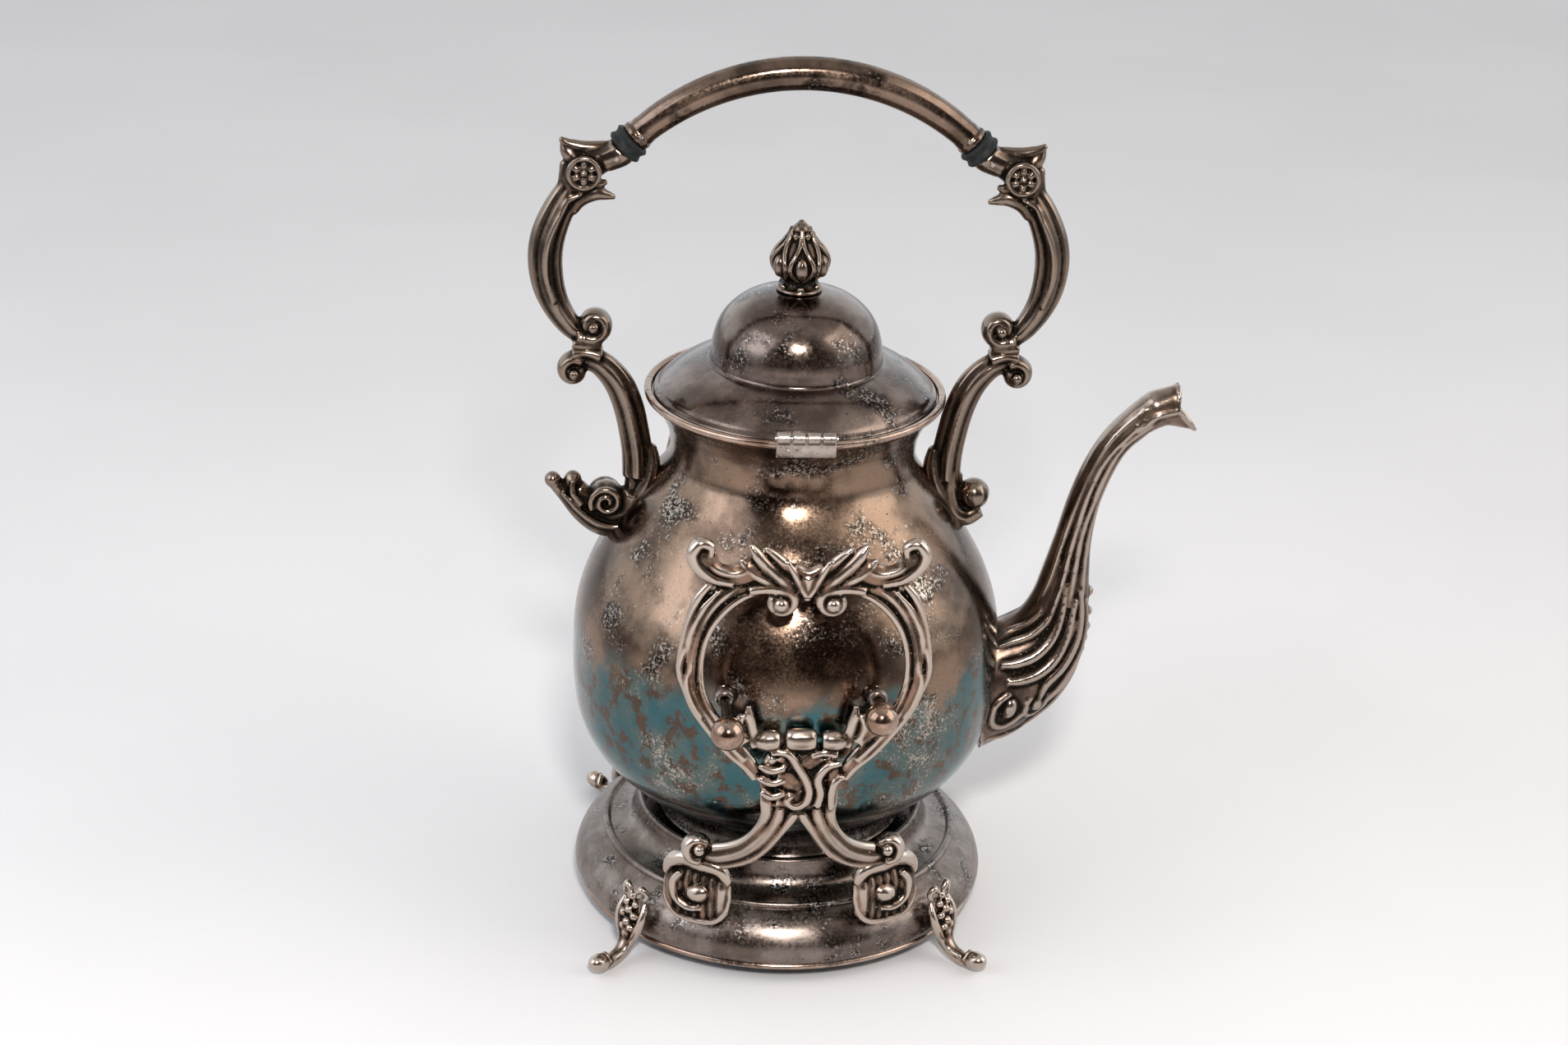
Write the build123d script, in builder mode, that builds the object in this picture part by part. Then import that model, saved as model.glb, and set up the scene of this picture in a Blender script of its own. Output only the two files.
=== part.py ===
from build123d import *

import os
from math import atan2, cos, degrees, hypot, radians, sin, sqrt

# A tilting silver-plated kettle on a round footed stand.
# Millimetres. Origin on the common axis of kettle and stand, on the surface it stands on.
# +Z is up, +X points to the spout, -Y is the side with the lid hinge.

os.makedirs("parts", exist_ok=True)

# ---- driving dimensions -------------------------------------------------------------------
sheet = 1.4  # silver-plated sheet of all the spun shells

# stand base, stepping out from the kettle's foot ring
foot_ring_radius = 46.0
foot_ring_clearance = 8.4  # from the ring's face to the outside of the drum
drum_radius = foot_ring_radius + foot_ring_clearance
step_width = 12.4
step_radius = drum_radius + step_width
base_flare = 11.7
base_radius = step_radius + base_flare  # widest radius of the rolled base ring
base_bottom = 8.0  # under-edge of the base, carried clear of the table by the feet
base_bulge_height = 13.0
step_height = 28.8
drum_height = 39.2
well_floor = 29.6  # floor of the well that the kettle's foot ring hangs in
rim_wire_radius = 1.1

# kettle body
foot_ring_lift = 6.4  # ring's under-edge above the floor of the well
foot_ring_bottom = well_floor + foot_ring_lift
foot_ring_depth = 10.0
body_bottom = foot_ring_bottom + foot_ring_depth
belly_radius = 80.0
belly_height = 104.0
shoulder_radius = 66.0
shoulder_height = 150.0
neck_radius = 45.0
neck_height = 181.0
mouth_height = 201.0  # top edge of the spun body, under the mouth rim

# mouth rim and lid
rim_radius = 55.0
rim_depth = 5.0
rim_height = mouth_height + rim_depth
rim_lip_width = 3.0
lid_gap = 0.3  # between the lid's edge and the rim around it
lid_radius = rim_radius - rim_lip_width - lid_gap
seat_depth = 1.8
seat_height = rim_height - seat_depth
seat_gap = 0.1
flange_rise = 12.8
dome_radius = 31.0
dome_height = 26.5
vent_radius = 0.9
vent_circle = 40.0
bezel_depth = 6.0
bezel_gap = 1.0

# finial
finial_height = 26.5
finial_bulb_radius = 10.7
finial_neck_radius = 6.0
finial_collar_radius = 8.5
stud_radius = 1.6
nut_radius = 3.6
nut_height = 2.6

# lid hinge
hinge_barrel_radius = 2.4
hinge_standoff = 1.9
hinge_offset = rim_radius + hinge_standoff  # hinge axis in front of the kettle's axis
hinge_rise = 3.0
hinge_height = rim_height + hinge_rise
hinge_pin_radius = 0.9
hinge_fit = 0.05
hinge_length = 21.0
leaf_thickness = 1.2

# ball-headed pins that carry the kettle
pin_spacing = 54.0  # between the spout-side and the handle-side pins
pin_height = 118.5
pin_radius = 1.75
pin_fit = 0.05
ball_radius = 6.0
pin_depth = 13.0  # length of rod held inside the belly
socket_wall = 1.3
drawn_out = 10.5  # how far the front handle-side pin stands drawn out of its socket

# brackets
bracket_gap = 2.0
bracket_thickness = 5.0
bracket_centre = 136.5
opening_half_width = 35.0
opening_half_height = 27.0
frame_width = 9.4
crest_height = 181.0
waist_height = 79.5
leg_radius = 4.2
leg_spread = 34.0
leg_curl_radius = 5.6
leg_curl_height = 54.0
pad_width = 24.0
pad_length = 24.0
pad_thickness = 3.4

# handle
grip_top = 329.5
grip_tube_radius = 6.2
grip_half_span = 60.0  # centre to the end of the silver tube
grip_rise = 24.4
grip_wall = 1.0
insulator_length = 5.5
insulator_bead = 0.8  # how far the insulators stand proud of the grip
insulator_radius = grip_tube_radius + insulator_bead
spigot_radius = 3.6
spigot_length = 6.0
spigot_gap = 0.35  # lets the straight spigot enter the curved tube
grip_middle = grip_top - grip_tube_radius
grip_end_height = grip_middle - grip_rise
rosette_radius = 6.4
rosette_thickness = 13.0
rosette_reach = 17.5
rosette_out = grip_half_span + rosette_reach
rosette_drop = 11.4
rosette_height = grip_end_height - rosette_drop
lower_curl_radius = 6.8
lower_curl_reach = 25.3
lower_curl_out = rim_radius + lower_curl_reach
lower_curl_rise = 6.0
lower_curl_height = rim_height + lower_curl_rise
lower_arm_radius = 5.6
waist_rise = 9.5
waist_joint = lower_curl_height + waist_rise  # where the upper arm is soldered on the lower scroll
upper_curl_radius = 7.0
upper_curl_inset = 6.8
upper_curl_out = lower_curl_out - upper_curl_inset
upper_curl_rise = 8.0
upper_curl_height = waist_joint + upper_curl_rise
arm_bow = 17.5
arm_out = upper_curl_out + arm_bow  # centre line of the arm where it bows out furthest
arm_bow_rise = 33.5
arm_height = waist_joint + arm_bow_rise
arm_radius = 6.2

# spout
spout_wall = 1.1
spout_reach = 70.0  # from the belly to the tip of the mouth

# feet
foot_reach = 19.5
foot_circle = base_radius + foot_reach
foot_radius = 3.2
toe_radius = 4.0


def spun(points, tangents=None):
    """Face of a closed half-profile: a spline through the points, closed along the axis."""
    with BuildSketch(Plane.XZ) as face:
        with BuildLine():
            curve = Spline(*points, tangents=tangents)
            top = curve @ 1
            bottom = curve @ 0
            Polyline(top, (0, top.Y), (0, bottom.Y), bottom)
        make_face()
    return face.sketch


def save(builder, name):
    """Label a finished piece and write its STEP file."""
    builder.part.label = name
    export_step(builder.part, f"parts/{name}.step")


# ---- stand: spun base with a well for the kettle's foot ------------------------------------
def base_outline(inset):
    """Half-profile of the base, moved in by inset for its inner side."""
    low = base_bottom if inset == 0 else base_bottom - 1
    edge = drum_radius - inset
    with BuildSketch(Plane.XZ) as face:
        with BuildLine():
            ring = Spline(
                (base_radius - 1.7 - inset, low),
                (base_radius - inset, base_bulge_height),
                (base_radius - 3.6 - inset, base_bulge_height + 9 - inset / 2),
                (step_radius + 1.4 - inset, step_height - 1.9 - inset),
                tangents=[(0.35, 1), (-1, 0.25)],
            )
            bead = ThreePointArc(
                ring @ 1,
                (step_radius + 0.6 - inset, step_height - 0.2 - inset),
                (step_radius - 1.6 - inset, step_height - inset),
            )
            cove = Spline(
                bead @ 1,
                (drum_radius + 3.0 - inset, step_height + 1.6 - inset),
                (edge + 0.4, drum_height - 1.4 - inset),
                tangents=[(-1, 0), (-0.1, 1)],
            )
            Polyline(
                cove @ 1,
                (edge - 0.4, drum_height - inset),
                (0, drum_height - inset),
                (0, low),
                ring @ 0,
            )
        make_face()
    return face.sketch


with BuildPart() as base_envelope:
    with BuildSketch(Plane.XZ):
        add(base_outline(0))
    revolve(axis=Axis.Z)

well_radius = drum_radius - 0.8 - sheet
with BuildPart() as stand_base:
    with BuildSketch(Plane.XZ):
        add(base_outline(0))
    revolve(axis=Axis.Z)
    with BuildSketch(Plane.XY.offset(well_floor)):
        Circle(well_radius)
    extrude(amount=drum_height, mode=Mode.SUBTRACT)
    with BuildSketch(Plane.XZ):
        add(base_outline(sheet))
        with BuildLine():
            Polyline(
                (0, well_floor - sheet),
                (well_radius + sheet, well_floor - sheet),
                (well_radius + sheet, drum_height),
                (0, drum_height),
                close=True,
            )
        make_face(mode=Mode.SUBTRACT)
    revolve(axis=Axis.Z, mode=Mode.SUBTRACT)
    rim = stand_base.edges().filter_by(GeomType.CIRCLE).filter_by(
        lambda edge: abs(edge.center().Z - drum_height) < 0.01
    )
    fillet(rim, 0.35)
save(stand_base, "stand_base")

with BuildPart() as base_rim_wire:
    with BuildSketch(Plane.XZ):
        with Locations((base_radius - 1.7 - sheet / 2, base_bottom - rim_wire_radius)):
            Circle(rim_wire_radius)
    revolve(axis=Axis.Z)
save(base_rim_wire, "base_rim_wire")

# ---- stand: four cabriole feet ---------------------------------------------------------------
foot_angles = {"front_left": 225, "front_right": 315, "rear_right": 45, "rear_left": 135}
for place, angle in foot_angles.items():
    radial = Plane.XZ.rotated((0, 0, angle))
    with BuildPart() as foot:
        with BuildLine(radial):
            shank = Spline(
                (base_radius + 1.5, base_bottom + 8),
                (base_radius + 6.5, base_bottom - 0.5),
                (foot_circle, toe_radius),
                tangents=[(0.1, -1), (1, 0.25)],
            )
        with BuildSketch(Plane(origin=shank @ 0, z_dir=shank % 0)):
            Circle(foot_radius)
        sweep()
        with BuildSketch(radial):
            with BuildLine():
                Polyline(
                    (step_radius + 4, base_bottom + 22),
                    (base_radius - 1, base_bottom + 23),
                    (base_radius + 4.6, base_bottom + 12),
                    (base_radius + 3.2, base_bottom + 2),
                    (base_radius - 6, base_bottom + 2),
                    close=True,
                )
            make_face()
        extrude(amount=5.2, both=True)
        with Locations(shank @ 1):
            Sphere(toe_radius)
        add(base_envelope.part, mode=Mode.SUBTRACT)
        split(bisect_by=Plane.XY.offset(0.4), keep=Keep.TOP)
        sole = foot.faces().sort_by(Axis.Z)[0]
        extrude(sole, amount=0.4)
    save(foot, f"foot_{place}")

# ---- kettle body -----------------------------------------------------------------------------
def body_outline(inset):
    """Profile of the kettle, moved in by inset for the inner side of the sheet."""
    drop = 0.6 * inset
    return [
        (foot_ring_radius - inset, body_bottom + inset),
        (0.5 * (foot_ring_radius + belly_radius) + 2 - inset, body_bottom + 11 + drop),
        (belly_radius - 3 - inset, belly_height - 28),
        (belly_radius - inset, belly_height),
        (shoulder_radius - inset, shoulder_height),
        (neck_radius - inset, neck_height),
        (0.5 * (neck_radius + rim_radius) + 1 - inset, mouth_height),
    ]


outline_ends = [(1, 0.75), (0.55, 1)]
with BuildPart() as kettle_envelope:
    with BuildSketch(Plane.XZ):
        add(spun(body_outline(0), outline_ends))
    revolve(axis=Axis.Z)

with BuildPart() as kettle_cavity:
    with BuildSketch(Plane.XZ):
        add(spun(body_outline(sheet), outline_ends))
    revolve(axis=Axis.Z)

pin_sides = {"front": -1, "rear": 1}
pin_places = {"spout_side": 1, "handle_side": -1}
pin_half = pin_spacing / 2
belly_at_pin = sqrt(belly_radius**2 - pin_half**2)
socket_radius = pin_radius + pin_fit + socket_wall
spout_hole_radius = 11.0
spout_hole_height = belly_height - 15

with BuildPart() as kettle_body:
    add(kettle_envelope.part)
    add(kettle_cavity.part, mode=Mode.SUBTRACT)
    for side in pin_sides.values():
        with BuildSketch(Plane.XZ.offset(-side * (belly_at_pin - 8))):
            with Locations(*[(x * pin_half, pin_height) for x in pin_places.values()]):
                Circle(socket_radius)
        extrude(amount=-side * 20, mode=Mode.SUBTRACT)
    with BuildSketch(Plane.YZ.offset(belly_radius - 12)):
        with Locations((0, spout_hole_height)):
            Circle(spout_hole_radius)
    extrude(amount=20, mode=Mode.SUBTRACT)
save(kettle_body, "kettle_body")

with BuildPart() as kettle_foot_ring:
    with BuildSketch(Plane.XZ):
        with BuildLine():
            outside = Spline(
                (foot_ring_radius + 0.6, foot_ring_bottom),
                (foot_ring_radius - 1.2, foot_ring_bottom + 4.5),
                (foot_ring_radius - 0.4, body_bottom - 0.5),
            )
            Polyline(
                outside @ 1,
                (foot_ring_radius - 0.4, body_bottom),
                (foot_ring_radius - 3.4, body_bottom),
                (foot_ring_radius - 3.4, foot_ring_bottom),
                outside @ 0,
            )
        make_face()
    revolve(axis=Axis.Z)
save(kettle_foot_ring, "kettle_foot_ring")

mouth_outer = 0.5 * (neck_radius + rim_radius) + 1
with BuildPart() as mouth_rim:
    with BuildSketch(Plane.XZ):
        with BuildLine():
            lip = Spline(
                (mouth_outer, mouth_height),
                (rim_radius - 1.0, mouth_height + 2.2),
                (rim_radius, rim_height - 1.3),
                (rim_radius - 1.2, rim_height),
                tangents=[(1, 0.6), (-1, 0.3)],
            )
            Polyline(
                lip @ 1,
                (lid_radius + lid_gap, rim_height - 0.3),
                (lid_radius + lid_gap, seat_height),
                (mouth_outer - 3.2, seat_height),
                (mouth_outer - 3.2, mouth_height),
                lip @ 0,
            )
        make_face()
    revolve(axis=Axis.Z)
save(mouth_rim, "mouth_rim")

# Blind sockets soldered through the belly; the ball-headed pins push into them.
bore_end = belly_at_pin - pin_depth - 1
with BuildPart() as pin_sockets:
    for side in pin_sides.values():
        with BuildSketch(Plane.XZ.offset(-side * (bore_end - socket_wall))):
            with Locations(*[(x * pin_half, pin_height) for x in pin_places.values()]):
                Circle(socket_radius)
        extrude(amount=-side * 30)
        with BuildSketch(Plane.XZ.offset(-side * bore_end)):
            with Locations(*[(x * pin_half, pin_height) for x in pin_places.values()]):
                Circle(pin_radius + pin_fit)
        extrude(amount=-side * 30, mode=Mode.SUBTRACT)
    add(kettle_envelope.part, mode=Mode.INTERSECT)
save(pin_sockets, "pin_sockets")

# ---- ball-headed pins ------------------------------------------------------------------------
bracket_inner = belly_radius + bracket_gap
bracket_outer = bracket_inner + bracket_thickness
ball_home = bracket_outer + 0.4 + ball_radius
for side_name, side in pin_sides.items():
    for place, x in pin_places.items():
        drawn = drawn_out if (side_name, place) == ("front", "handle_side") else 0
        inner_end = belly_at_pin - pin_depth + drawn
        with BuildPart() as ball_pin:
            with BuildSketch(Plane.XZ.offset(-side * inner_end)):
                with Locations((x * pin_half, pin_height)):
                    Circle(pin_radius)
            extrude(amount=-side * (ball_home + drawn - inner_end))
            with Locations((x * pin_half, side * (ball_home + drawn), pin_height)):
                Sphere(ball_radius)
        save(ball_pin, f"ball_pin_{side_name}_{place}")

# ---- spout -----------------------------------------------------------------------------------
# Stations along the spout: distance out, height, slope of the centre line in degrees,
# half-width across and half-height in the spout's own plane.
spout_stations = [
    (belly_radius - 18, belly_height - 20, 10, 20.0, 25.0),
    (belly_radius + 4, belly_height - 14, 28, 17.0, 22.0),
    (belly_radius + 18, belly_height + 3, 58, 12.5, 15.5),
    (belly_radius + 23, belly_height + 21, 77, 9.0, 10.8),
    (belly_radius + 26, belly_height + 41, 80, 6.8, 7.4),
    (belly_radius + 29.5, belly_height + 61, 75, 5.8, 6.3),
    (belly_radius + 36, belly_height + 77, 58, 5.6, 6.0),
    (belly_radius + 47.5, belly_height + 89, 38, 6.0, 6.4),
    (belly_radius + 60, belly_height + 96.5, 24, 6.4, 8.4),
    (belly_radius + 71, belly_height + 97.5, 8, 6.2, 9.4),
]


def spout_loft(inset):
    """Lofted spout through its stations, with inset taken off each half-size."""
    with BuildPart() as tube:
        for out, height, slope, half_wide, half_high in spout_stations:
            lean = radians(slope)
            station = Plane(
                origin=(out, 0, height), x_dir=(0, 1, 0), z_dir=(cos(lean), 0, sin(lean))
            )
            with BuildSketch(station):
                Ellipse(half_wide - inset, half_high - inset)
        loft()
    return tube.part


with BuildPart() as spout:
    add(spout_loft(0))
    add(spout_loft(spout_wall), mode=Mode.SUBTRACT)
    add(kettle_envelope.part, mode=Mode.SUBTRACT)
    tip = belly_radius + spout_reach
    lip_height = belly_height + 104.5
    with BuildSketch(Plane.XZ):
        with BuildLine():
            Polyline(
                (tip - 10.5, lip_height + 1),
                (tip - 7.5, lip_height - 8.6),
                (tip, lip_height - 17.5),
                (tip + 1, lip_height - 25),
                (tip + 30, lip_height - 25),
                (tip + 30, lip_height + 25),
                (tip - 10.5, lip_height + 25),
                close=True,
            )
        make_face()
    extrude(amount=40, both=True, mode=Mode.SUBTRACT)
save(spout, "spout")

# ---- lid -------------------------------------------------------------------------------------
flange_edge = seat_height + seat_gap
dome_base = flange_edge + flange_rise
dome_top = dome_base + dome_height


def lid_outline(inset):
    """Outer or inner side of the lid, from its edge to the middle of the dome."""
    with BuildLine() as outline:
        flange = Spline(
            (lid_radius - inset, flange_edge + 1.0 - inset),
            (0.5 * (lid_radius + dome_radius) + 1.5 - inset, flange_edge + 8.2 - inset),
            (dome_radius + 1.6 - inset, dome_base - inset),
            tangents=[(-0.9, 0.75), (-1, 0.2)],
        )
        dome = Spline(
            flange @ 1,
            (dome_radius - inset, dome_base + 3.0 - inset),
            (0.80 * dome_radius - inset, dome_base + 0.66 * dome_height - inset),
            (0, dome_top - inset),
            tangents=[(-1, 0.6), (-1, 0)],
        )
    return flange + dome, flange @ 0, dome @ 1


with BuildPart() as lid:
    for inset, mode in ((0, Mode.ADD), (sheet, Mode.SUBTRACT)):
        low = flange_edge if inset == 0 else flange_edge - 3
        with BuildSketch(Plane.XZ):
            with BuildLine():
                wires, edge, crown = lid_outline(inset)
                add(wires)
                Polyline(crown, (0, low), (edge.X, low), edge)
            make_face()
        revolve(axis=Axis.Z, mode=mode)
    with Locations((0, 0, dome_top)):
        Cylinder(stud_radius + 0.2, 4 * sheet, mode=Mode.SUBTRACT)
    with Locations((0, -vent_circle, flange_edge + 8)):
        Cylinder(vent_radius, 30, mode=Mode.SUBTRACT)
save(lid, "lid")

bezel_radius = mouth_outer - 3.2 - bezel_gap
with BuildPart() as lid_bezel:
    with BuildSketch(Plane.XY.offset(flange_edge - bezel_depth)):
        Circle(bezel_radius)
        Circle(bezel_radius - 1.2, mode=Mode.SUBTRACT)
    extrude(amount=bezel_depth + 12)
    with BuildPart(mode=Mode.PRIVATE) as above_lid:
        with BuildSketch(Plane.XZ):
            with BuildLine():
                wires, edge, crown = lid_outline(sheet)
                add(wires)
                Polyline(crown, (0, dome_top + 20), (2 * lid_radius, dome_top + 20))
                Polyline((2 * lid_radius, dome_top + 20), (2 * lid_radius, edge.Y), edge)
            make_face()
        revolve(axis=Axis.Z)
    add(above_lid.part, mode=Mode.SUBTRACT)
save(lid_bezel, "lid_bezel")

# ---- finial, its stud and nut ----------------------------------------------------------------
with BuildPart() as finial:
    with BuildSketch(Plane.XZ):
        with BuildLine():
            side = Spline(
                (finial_collar_radius, dome_top + 1.2),
                (finial_neck_radius, dome_top + 0.16 * finial_height),
                (finial_bulb_radius, dome_top + 0.46 * finial_height),
                (0.42 * finial_bulb_radius, dome_top + 0.80 * finial_height),
                (0, dome_top + finial_height),
            )
            Polyline(
                side @ 1,
                (0, dome_top - sheet - nut_height - 1),
                (stud_radius, dome_top - sheet - nut_height - 1),
                (stud_radius, dome_top + 0.1),
                (finial_collar_radius, dome_top + 0.1),
                side @ 0,
            )
        make_face()
    revolve(axis=Axis.Z)
save(finial, "finial")

with BuildPart() as finial_nut:
    with BuildSketch(Plane.XY.offset(dome_top - sheet - 0.1)):
        RegularPolygon(nut_radius, 6)
        Circle(stud_radius + 0.05, mode=Mode.SUBTRACT)
    extrude(amount=-nut_height)
    add(lid.part, mode=Mode.SUBTRACT)
save(finial_nut, "finial_nut")

# ---- lid hinge -------------------------------------------------------------------------------
knuckle = hinge_length / 4
knuckle_gap = 0.15
hinge_axis = Plane.YZ.offset(-hinge_length / 2)


def knuckles(first):
    """Two of the four knuckles, starting with the one numbered first."""
    with BuildPart() as barrels:
        for number in (first, first + 2):
            start = number * knuckle + knuckle_gap / 2
            with BuildSketch(hinge_axis.offset(start)):
                with Locations((-hinge_offset, hinge_height)):
                    Circle(hinge_barrel_radius)
                    Circle(hinge_pin_radius + hinge_fit, mode=Mode.SUBTRACT)
            extrude(amount=knuckle - knuckle_gap)
    return barrels.part


def hinge_bore():
    """Clear way for the hinge pin through both leaves."""
    with BuildPart() as bore:
        with BuildSketch(Plane.YZ.offset(-hinge_length)):
            with Locations((-hinge_offset, hinge_height)):
                Circle(hinge_pin_radius + hinge_fit)
        extrude(amount=2 * hinge_length)
    return bore.part


leaf_top = hinge_height - hinge_barrel_radius - knuckle_gap
with BuildPart() as hinge_body_leaf:
    add(knuckles(0))
    front = -hinge_offset - hinge_barrel_radius * 0.5
    with BuildSketch(hinge_axis):
        with BuildLine():
            Polyline(
                (front, leaf_top),
                (front, mouth_height + 0.8),
                (-rim_radius + 2, mouth_height + 0.8),
                (-rim_radius + 2, rim_height - 0.6),
                (-rim_radius - 0.4, leaf_top),
                close=True,
            )
        make_face()
    extrude(amount=hinge_length)
    for number in (0, 2):
        start = number * knuckle + knuckle_gap / 2
        with BuildSketch(hinge_axis.offset(start)):
            with Locations((-hinge_offset, hinge_height - hinge_barrel_radius)):
                Rectangle(hinge_barrel_radius, 2 * leaf_thickness)
        extrude(amount=knuckle - knuckle_gap)
    with BuildSketch(Plane.XY.offset(mouth_height - 1)):
        Circle(rim_radius)
    extrude(amount=rim_height - mouth_height + 1.6, mode=Mode.SUBTRACT)
    add(hinge_bore(), mode=Mode.SUBTRACT)
save(hinge_body_leaf, "hinge_body_leaf")


def lid_solid(inset):
    """Filled shape of the lid, moved in by inset, or out where inset is negative."""
    with BuildPart() as filled:
        with BuildSketch(Plane.XZ):
            with BuildLine():
                wires, edge, crown = lid_outline(inset)
                add(wires)
                Polyline(crown, (0, flange_edge), (edge.X, flange_edge), edge)
            make_face()
        revolve(axis=Axis.Z)
    return filled.part


leaf_reach = 9.5
with BuildPart() as hinge_lid_leaf:
    with Locations((0, -lid_radius + leaf_reach / 2 - 1, flange_edge + 5)):
        Box(hinge_length, leaf_reach, 14)
    add(lid_solid(-leaf_thickness), mode=Mode.INTERSECT)
    with BuildSketch(Plane.XY.offset(flange_edge - 1)):
        Circle(lid_radius)
    extrude(amount=30, mode=Mode.INTERSECT)
    add(knuckles(1))
    for number in (1, 3):
        start = number * knuckle + knuckle_gap / 2
        with BuildSketch(hinge_axis.offset(start)):
            with BuildLine():
                Polyline(
                    (-hinge_offset, hinge_height + hinge_barrel_radius * 0.6),
                    (-hinge_offset, hinge_height - hinge_barrel_radius * 0.6),
                    (-lid_radius, flange_edge + 2.4),
                    (-lid_radius + 4, flange_edge + 5.0),
                    close=True,
                )
            make_face()
        extrude(amount=knuckle - knuckle_gap)
    add(lid_solid(0), mode=Mode.SUBTRACT)
    add(hinge_bore(), mode=Mode.SUBTRACT)
save(hinge_lid_leaf, "hinge_lid_leaf")

with BuildPart() as hinge_pin:
    with BuildSketch(hinge_axis.offset(-0.6)):
        with Locations((-hinge_offset, hinge_height)):
            Circle(hinge_pin_radius)
    extrude(amount=hinge_length + 1.2)
save(hinge_pin, "hinge_pin")

# ---- stand: cartouche brackets with cradles for the pins ---------------------------------------
frame_plane = Plane.XZ.offset(bracket_inner)
cradle_land = pin_height + 1.5
outer_half_width = opening_half_width + frame_width
outer_half_height = opening_half_height + frame_width + 1.0
band_half_width = 16.6
band_bottom = bracket_centre - 35.5
band_top = bracket_centre - 26.5


def both(points):
    """The same outline right and left of the bracket's middle."""
    return [points, [(-x, z) for x, z in points]]


with BuildPart() as front_bracket:
    with BuildSketch(frame_plane):
        with Locations((0, bracket_centre)):
            Ellipse(outer_half_width, outer_half_height)
        crest = [
            (0, crest_height - 11),
            (20, crest_height),
            (21.5, crest_height - 6.5),
            (31, crest_height - 8),
            (36.4, crest_height + 1),
            (41, crest_height - 4),
            (38.5, crest_height - 16),
            (0, crest_height - 24),
        ]
        skirt = [
            (0, band_bottom + 4),
            (24.5, band_bottom - 3),
            (14.5, band_bottom - 13),
            (12.8, waist_height),
            (0, waist_height - 5),
        ]
        for outline in both(crest) + both(skirt):
            with BuildLine():
                Polyline(*outline, close=True)
            make_face()
        with Locations((0, bracket_centre)):
            Ellipse(opening_half_width, opening_half_height, mode=Mode.SUBTRACT)
        with Locations((8.5, crest_height - 21), (-8.5, crest_height - 21)):
            Circle(5.4)
        with Locations((36.6, crest_height - 3.2), (-36.6, crest_height - 3.2)):
            Circle(4.4)
        hook = [
            (band_half_width - 3, band_bottom),
            (band_half_width, band_top),
            (pin_half - 8.4, cradle_land + 1),
            (pin_half - 5.4, cradle_land),
            (pin_half, pin_height - 2),
            (pin_half + 6, cradle_land - 1),
            (pin_half + 6, band_bottom + 4),
        ]
        for outline in both(hook):
            with BuildLine():
                Polyline(*outline, close=True)
            make_face()
        with Locations((0, (band_bottom + band_top) / 2)):
            Rectangle(2 * band_half_width, band_top - band_bottom)
        for place in pin_places.values():
            slack = pin_fit if place > 0 else 6 * pin_fit
            with Locations((place * pin_half, pin_height + slack - pin_fit)):
                Circle(pin_radius + slack, mode=Mode.SUBTRACT)
            with Locations((place * pin_half, pin_height + 5)):
                Rectangle(2 * (pin_radius + slack), 10, mode=Mode.SUBTRACT)
    extrude(amount=bracket_thickness)
    middle = -(bracket_inner + bracket_outer) / 2
    leg_out = -(base_radius - 8.5)
    for hand in (1, -1):
        with BuildLine():
            leg = Spline(
                (hand * 6.5, middle, waist_height + 6),
                (hand * 12.5, 0.6 * middle + 0.4 * leg_out, 0.5 * (waist_height + leg_curl_height) - 5),
                (hand * (leg_spread - 7), leg_out - 1, leg_curl_height - 3.4),
                tangents=[(hand * 0.15, 0, -1), (hand * 1, 0.1, 0.05)],
            )
        with BuildSketch(Plane(origin=leg @ 0, z_dir=leg % 0)):
            Circle(leg_radius)
        sweep(path=leg)
        with BuildSketch(Plane.XZ.offset(-leg_out - 4.5)):
            with Locations((hand * leg_spread, leg_curl_height)):
                Circle(leg_curl_radius)
            with Locations((hand * (leg_spread - 5), leg_curl_height - 2.6)):
                Circle(3.0)
        extrude(amount=9)
save(front_bracket, "front_bracket")

with BuildPart() as rear_bracket:
    mirror(front_bracket.part, about=Plane.XZ)
save(rear_bracket, "rear_bracket")

# Shield-shaped castings under the bracket's leg curls, soldered on the base.
pad_out = base_radius - 3.0
pad_middle = leg_curl_height - leg_curl_radius - pad_length / 2 + 0.6
pad_azimuth = degrees(atan2(leg_spread + 1.5, -leg_out))
with BuildPart() as first_pad:
    swing = radians(-90 + pad_azimuth)
    rise = radians(8)
    face_plane = Plane(
        origin=(pad_out * cos(swing), pad_out * sin(swing), pad_middle),
        x_dir=(-sin(swing), cos(swing), 0),
        z_dir=(cos(swing) * cos(rise), sin(swing) * cos(rise), sin(rise)),
    )
    with BuildSketch(face_plane):
        RectangleRounded(pad_width, pad_length, 6)
    extrude(amount=pad_thickness)
    extrude(first_pad.faces().sort_by(Axis((0, 0, 0), (cos(swing), sin(swing), 0)))[0], amount=6)
    with BuildSketch(face_plane.offset(pad_thickness)):
        with Locations((0, -2)):
            Ellipse(7.2, 5.2)
    extrude(amount=-2.0, mode=Mode.SUBTRACT)
    add(base_envelope.part, mode=Mode.SUBTRACT)
    add(front_bracket.part, mode=Mode.SUBTRACT)

with BuildPart() as pad_front_right:
    add(first_pad.part.solids().sort_by(SortBy.VOLUME)[-1])
with BuildPart() as pad_front_left:
    mirror(pad_front_right.part, about=Plane.YZ)
with BuildPart() as pad_rear_right:
    mirror(pad_front_right.part, about=Plane.XZ)
with BuildPart() as pad_rear_left:
    mirror(pad_front_left.part, about=Plane.XZ)
save(pad_front_right, "bracket_pad_front_right")
save(pad_front_left, "bracket_pad_front_left")
save(pad_rear_right, "bracket_pad_rear_right")
save(pad_rear_left, "bracket_pad_rear_left")

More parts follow.
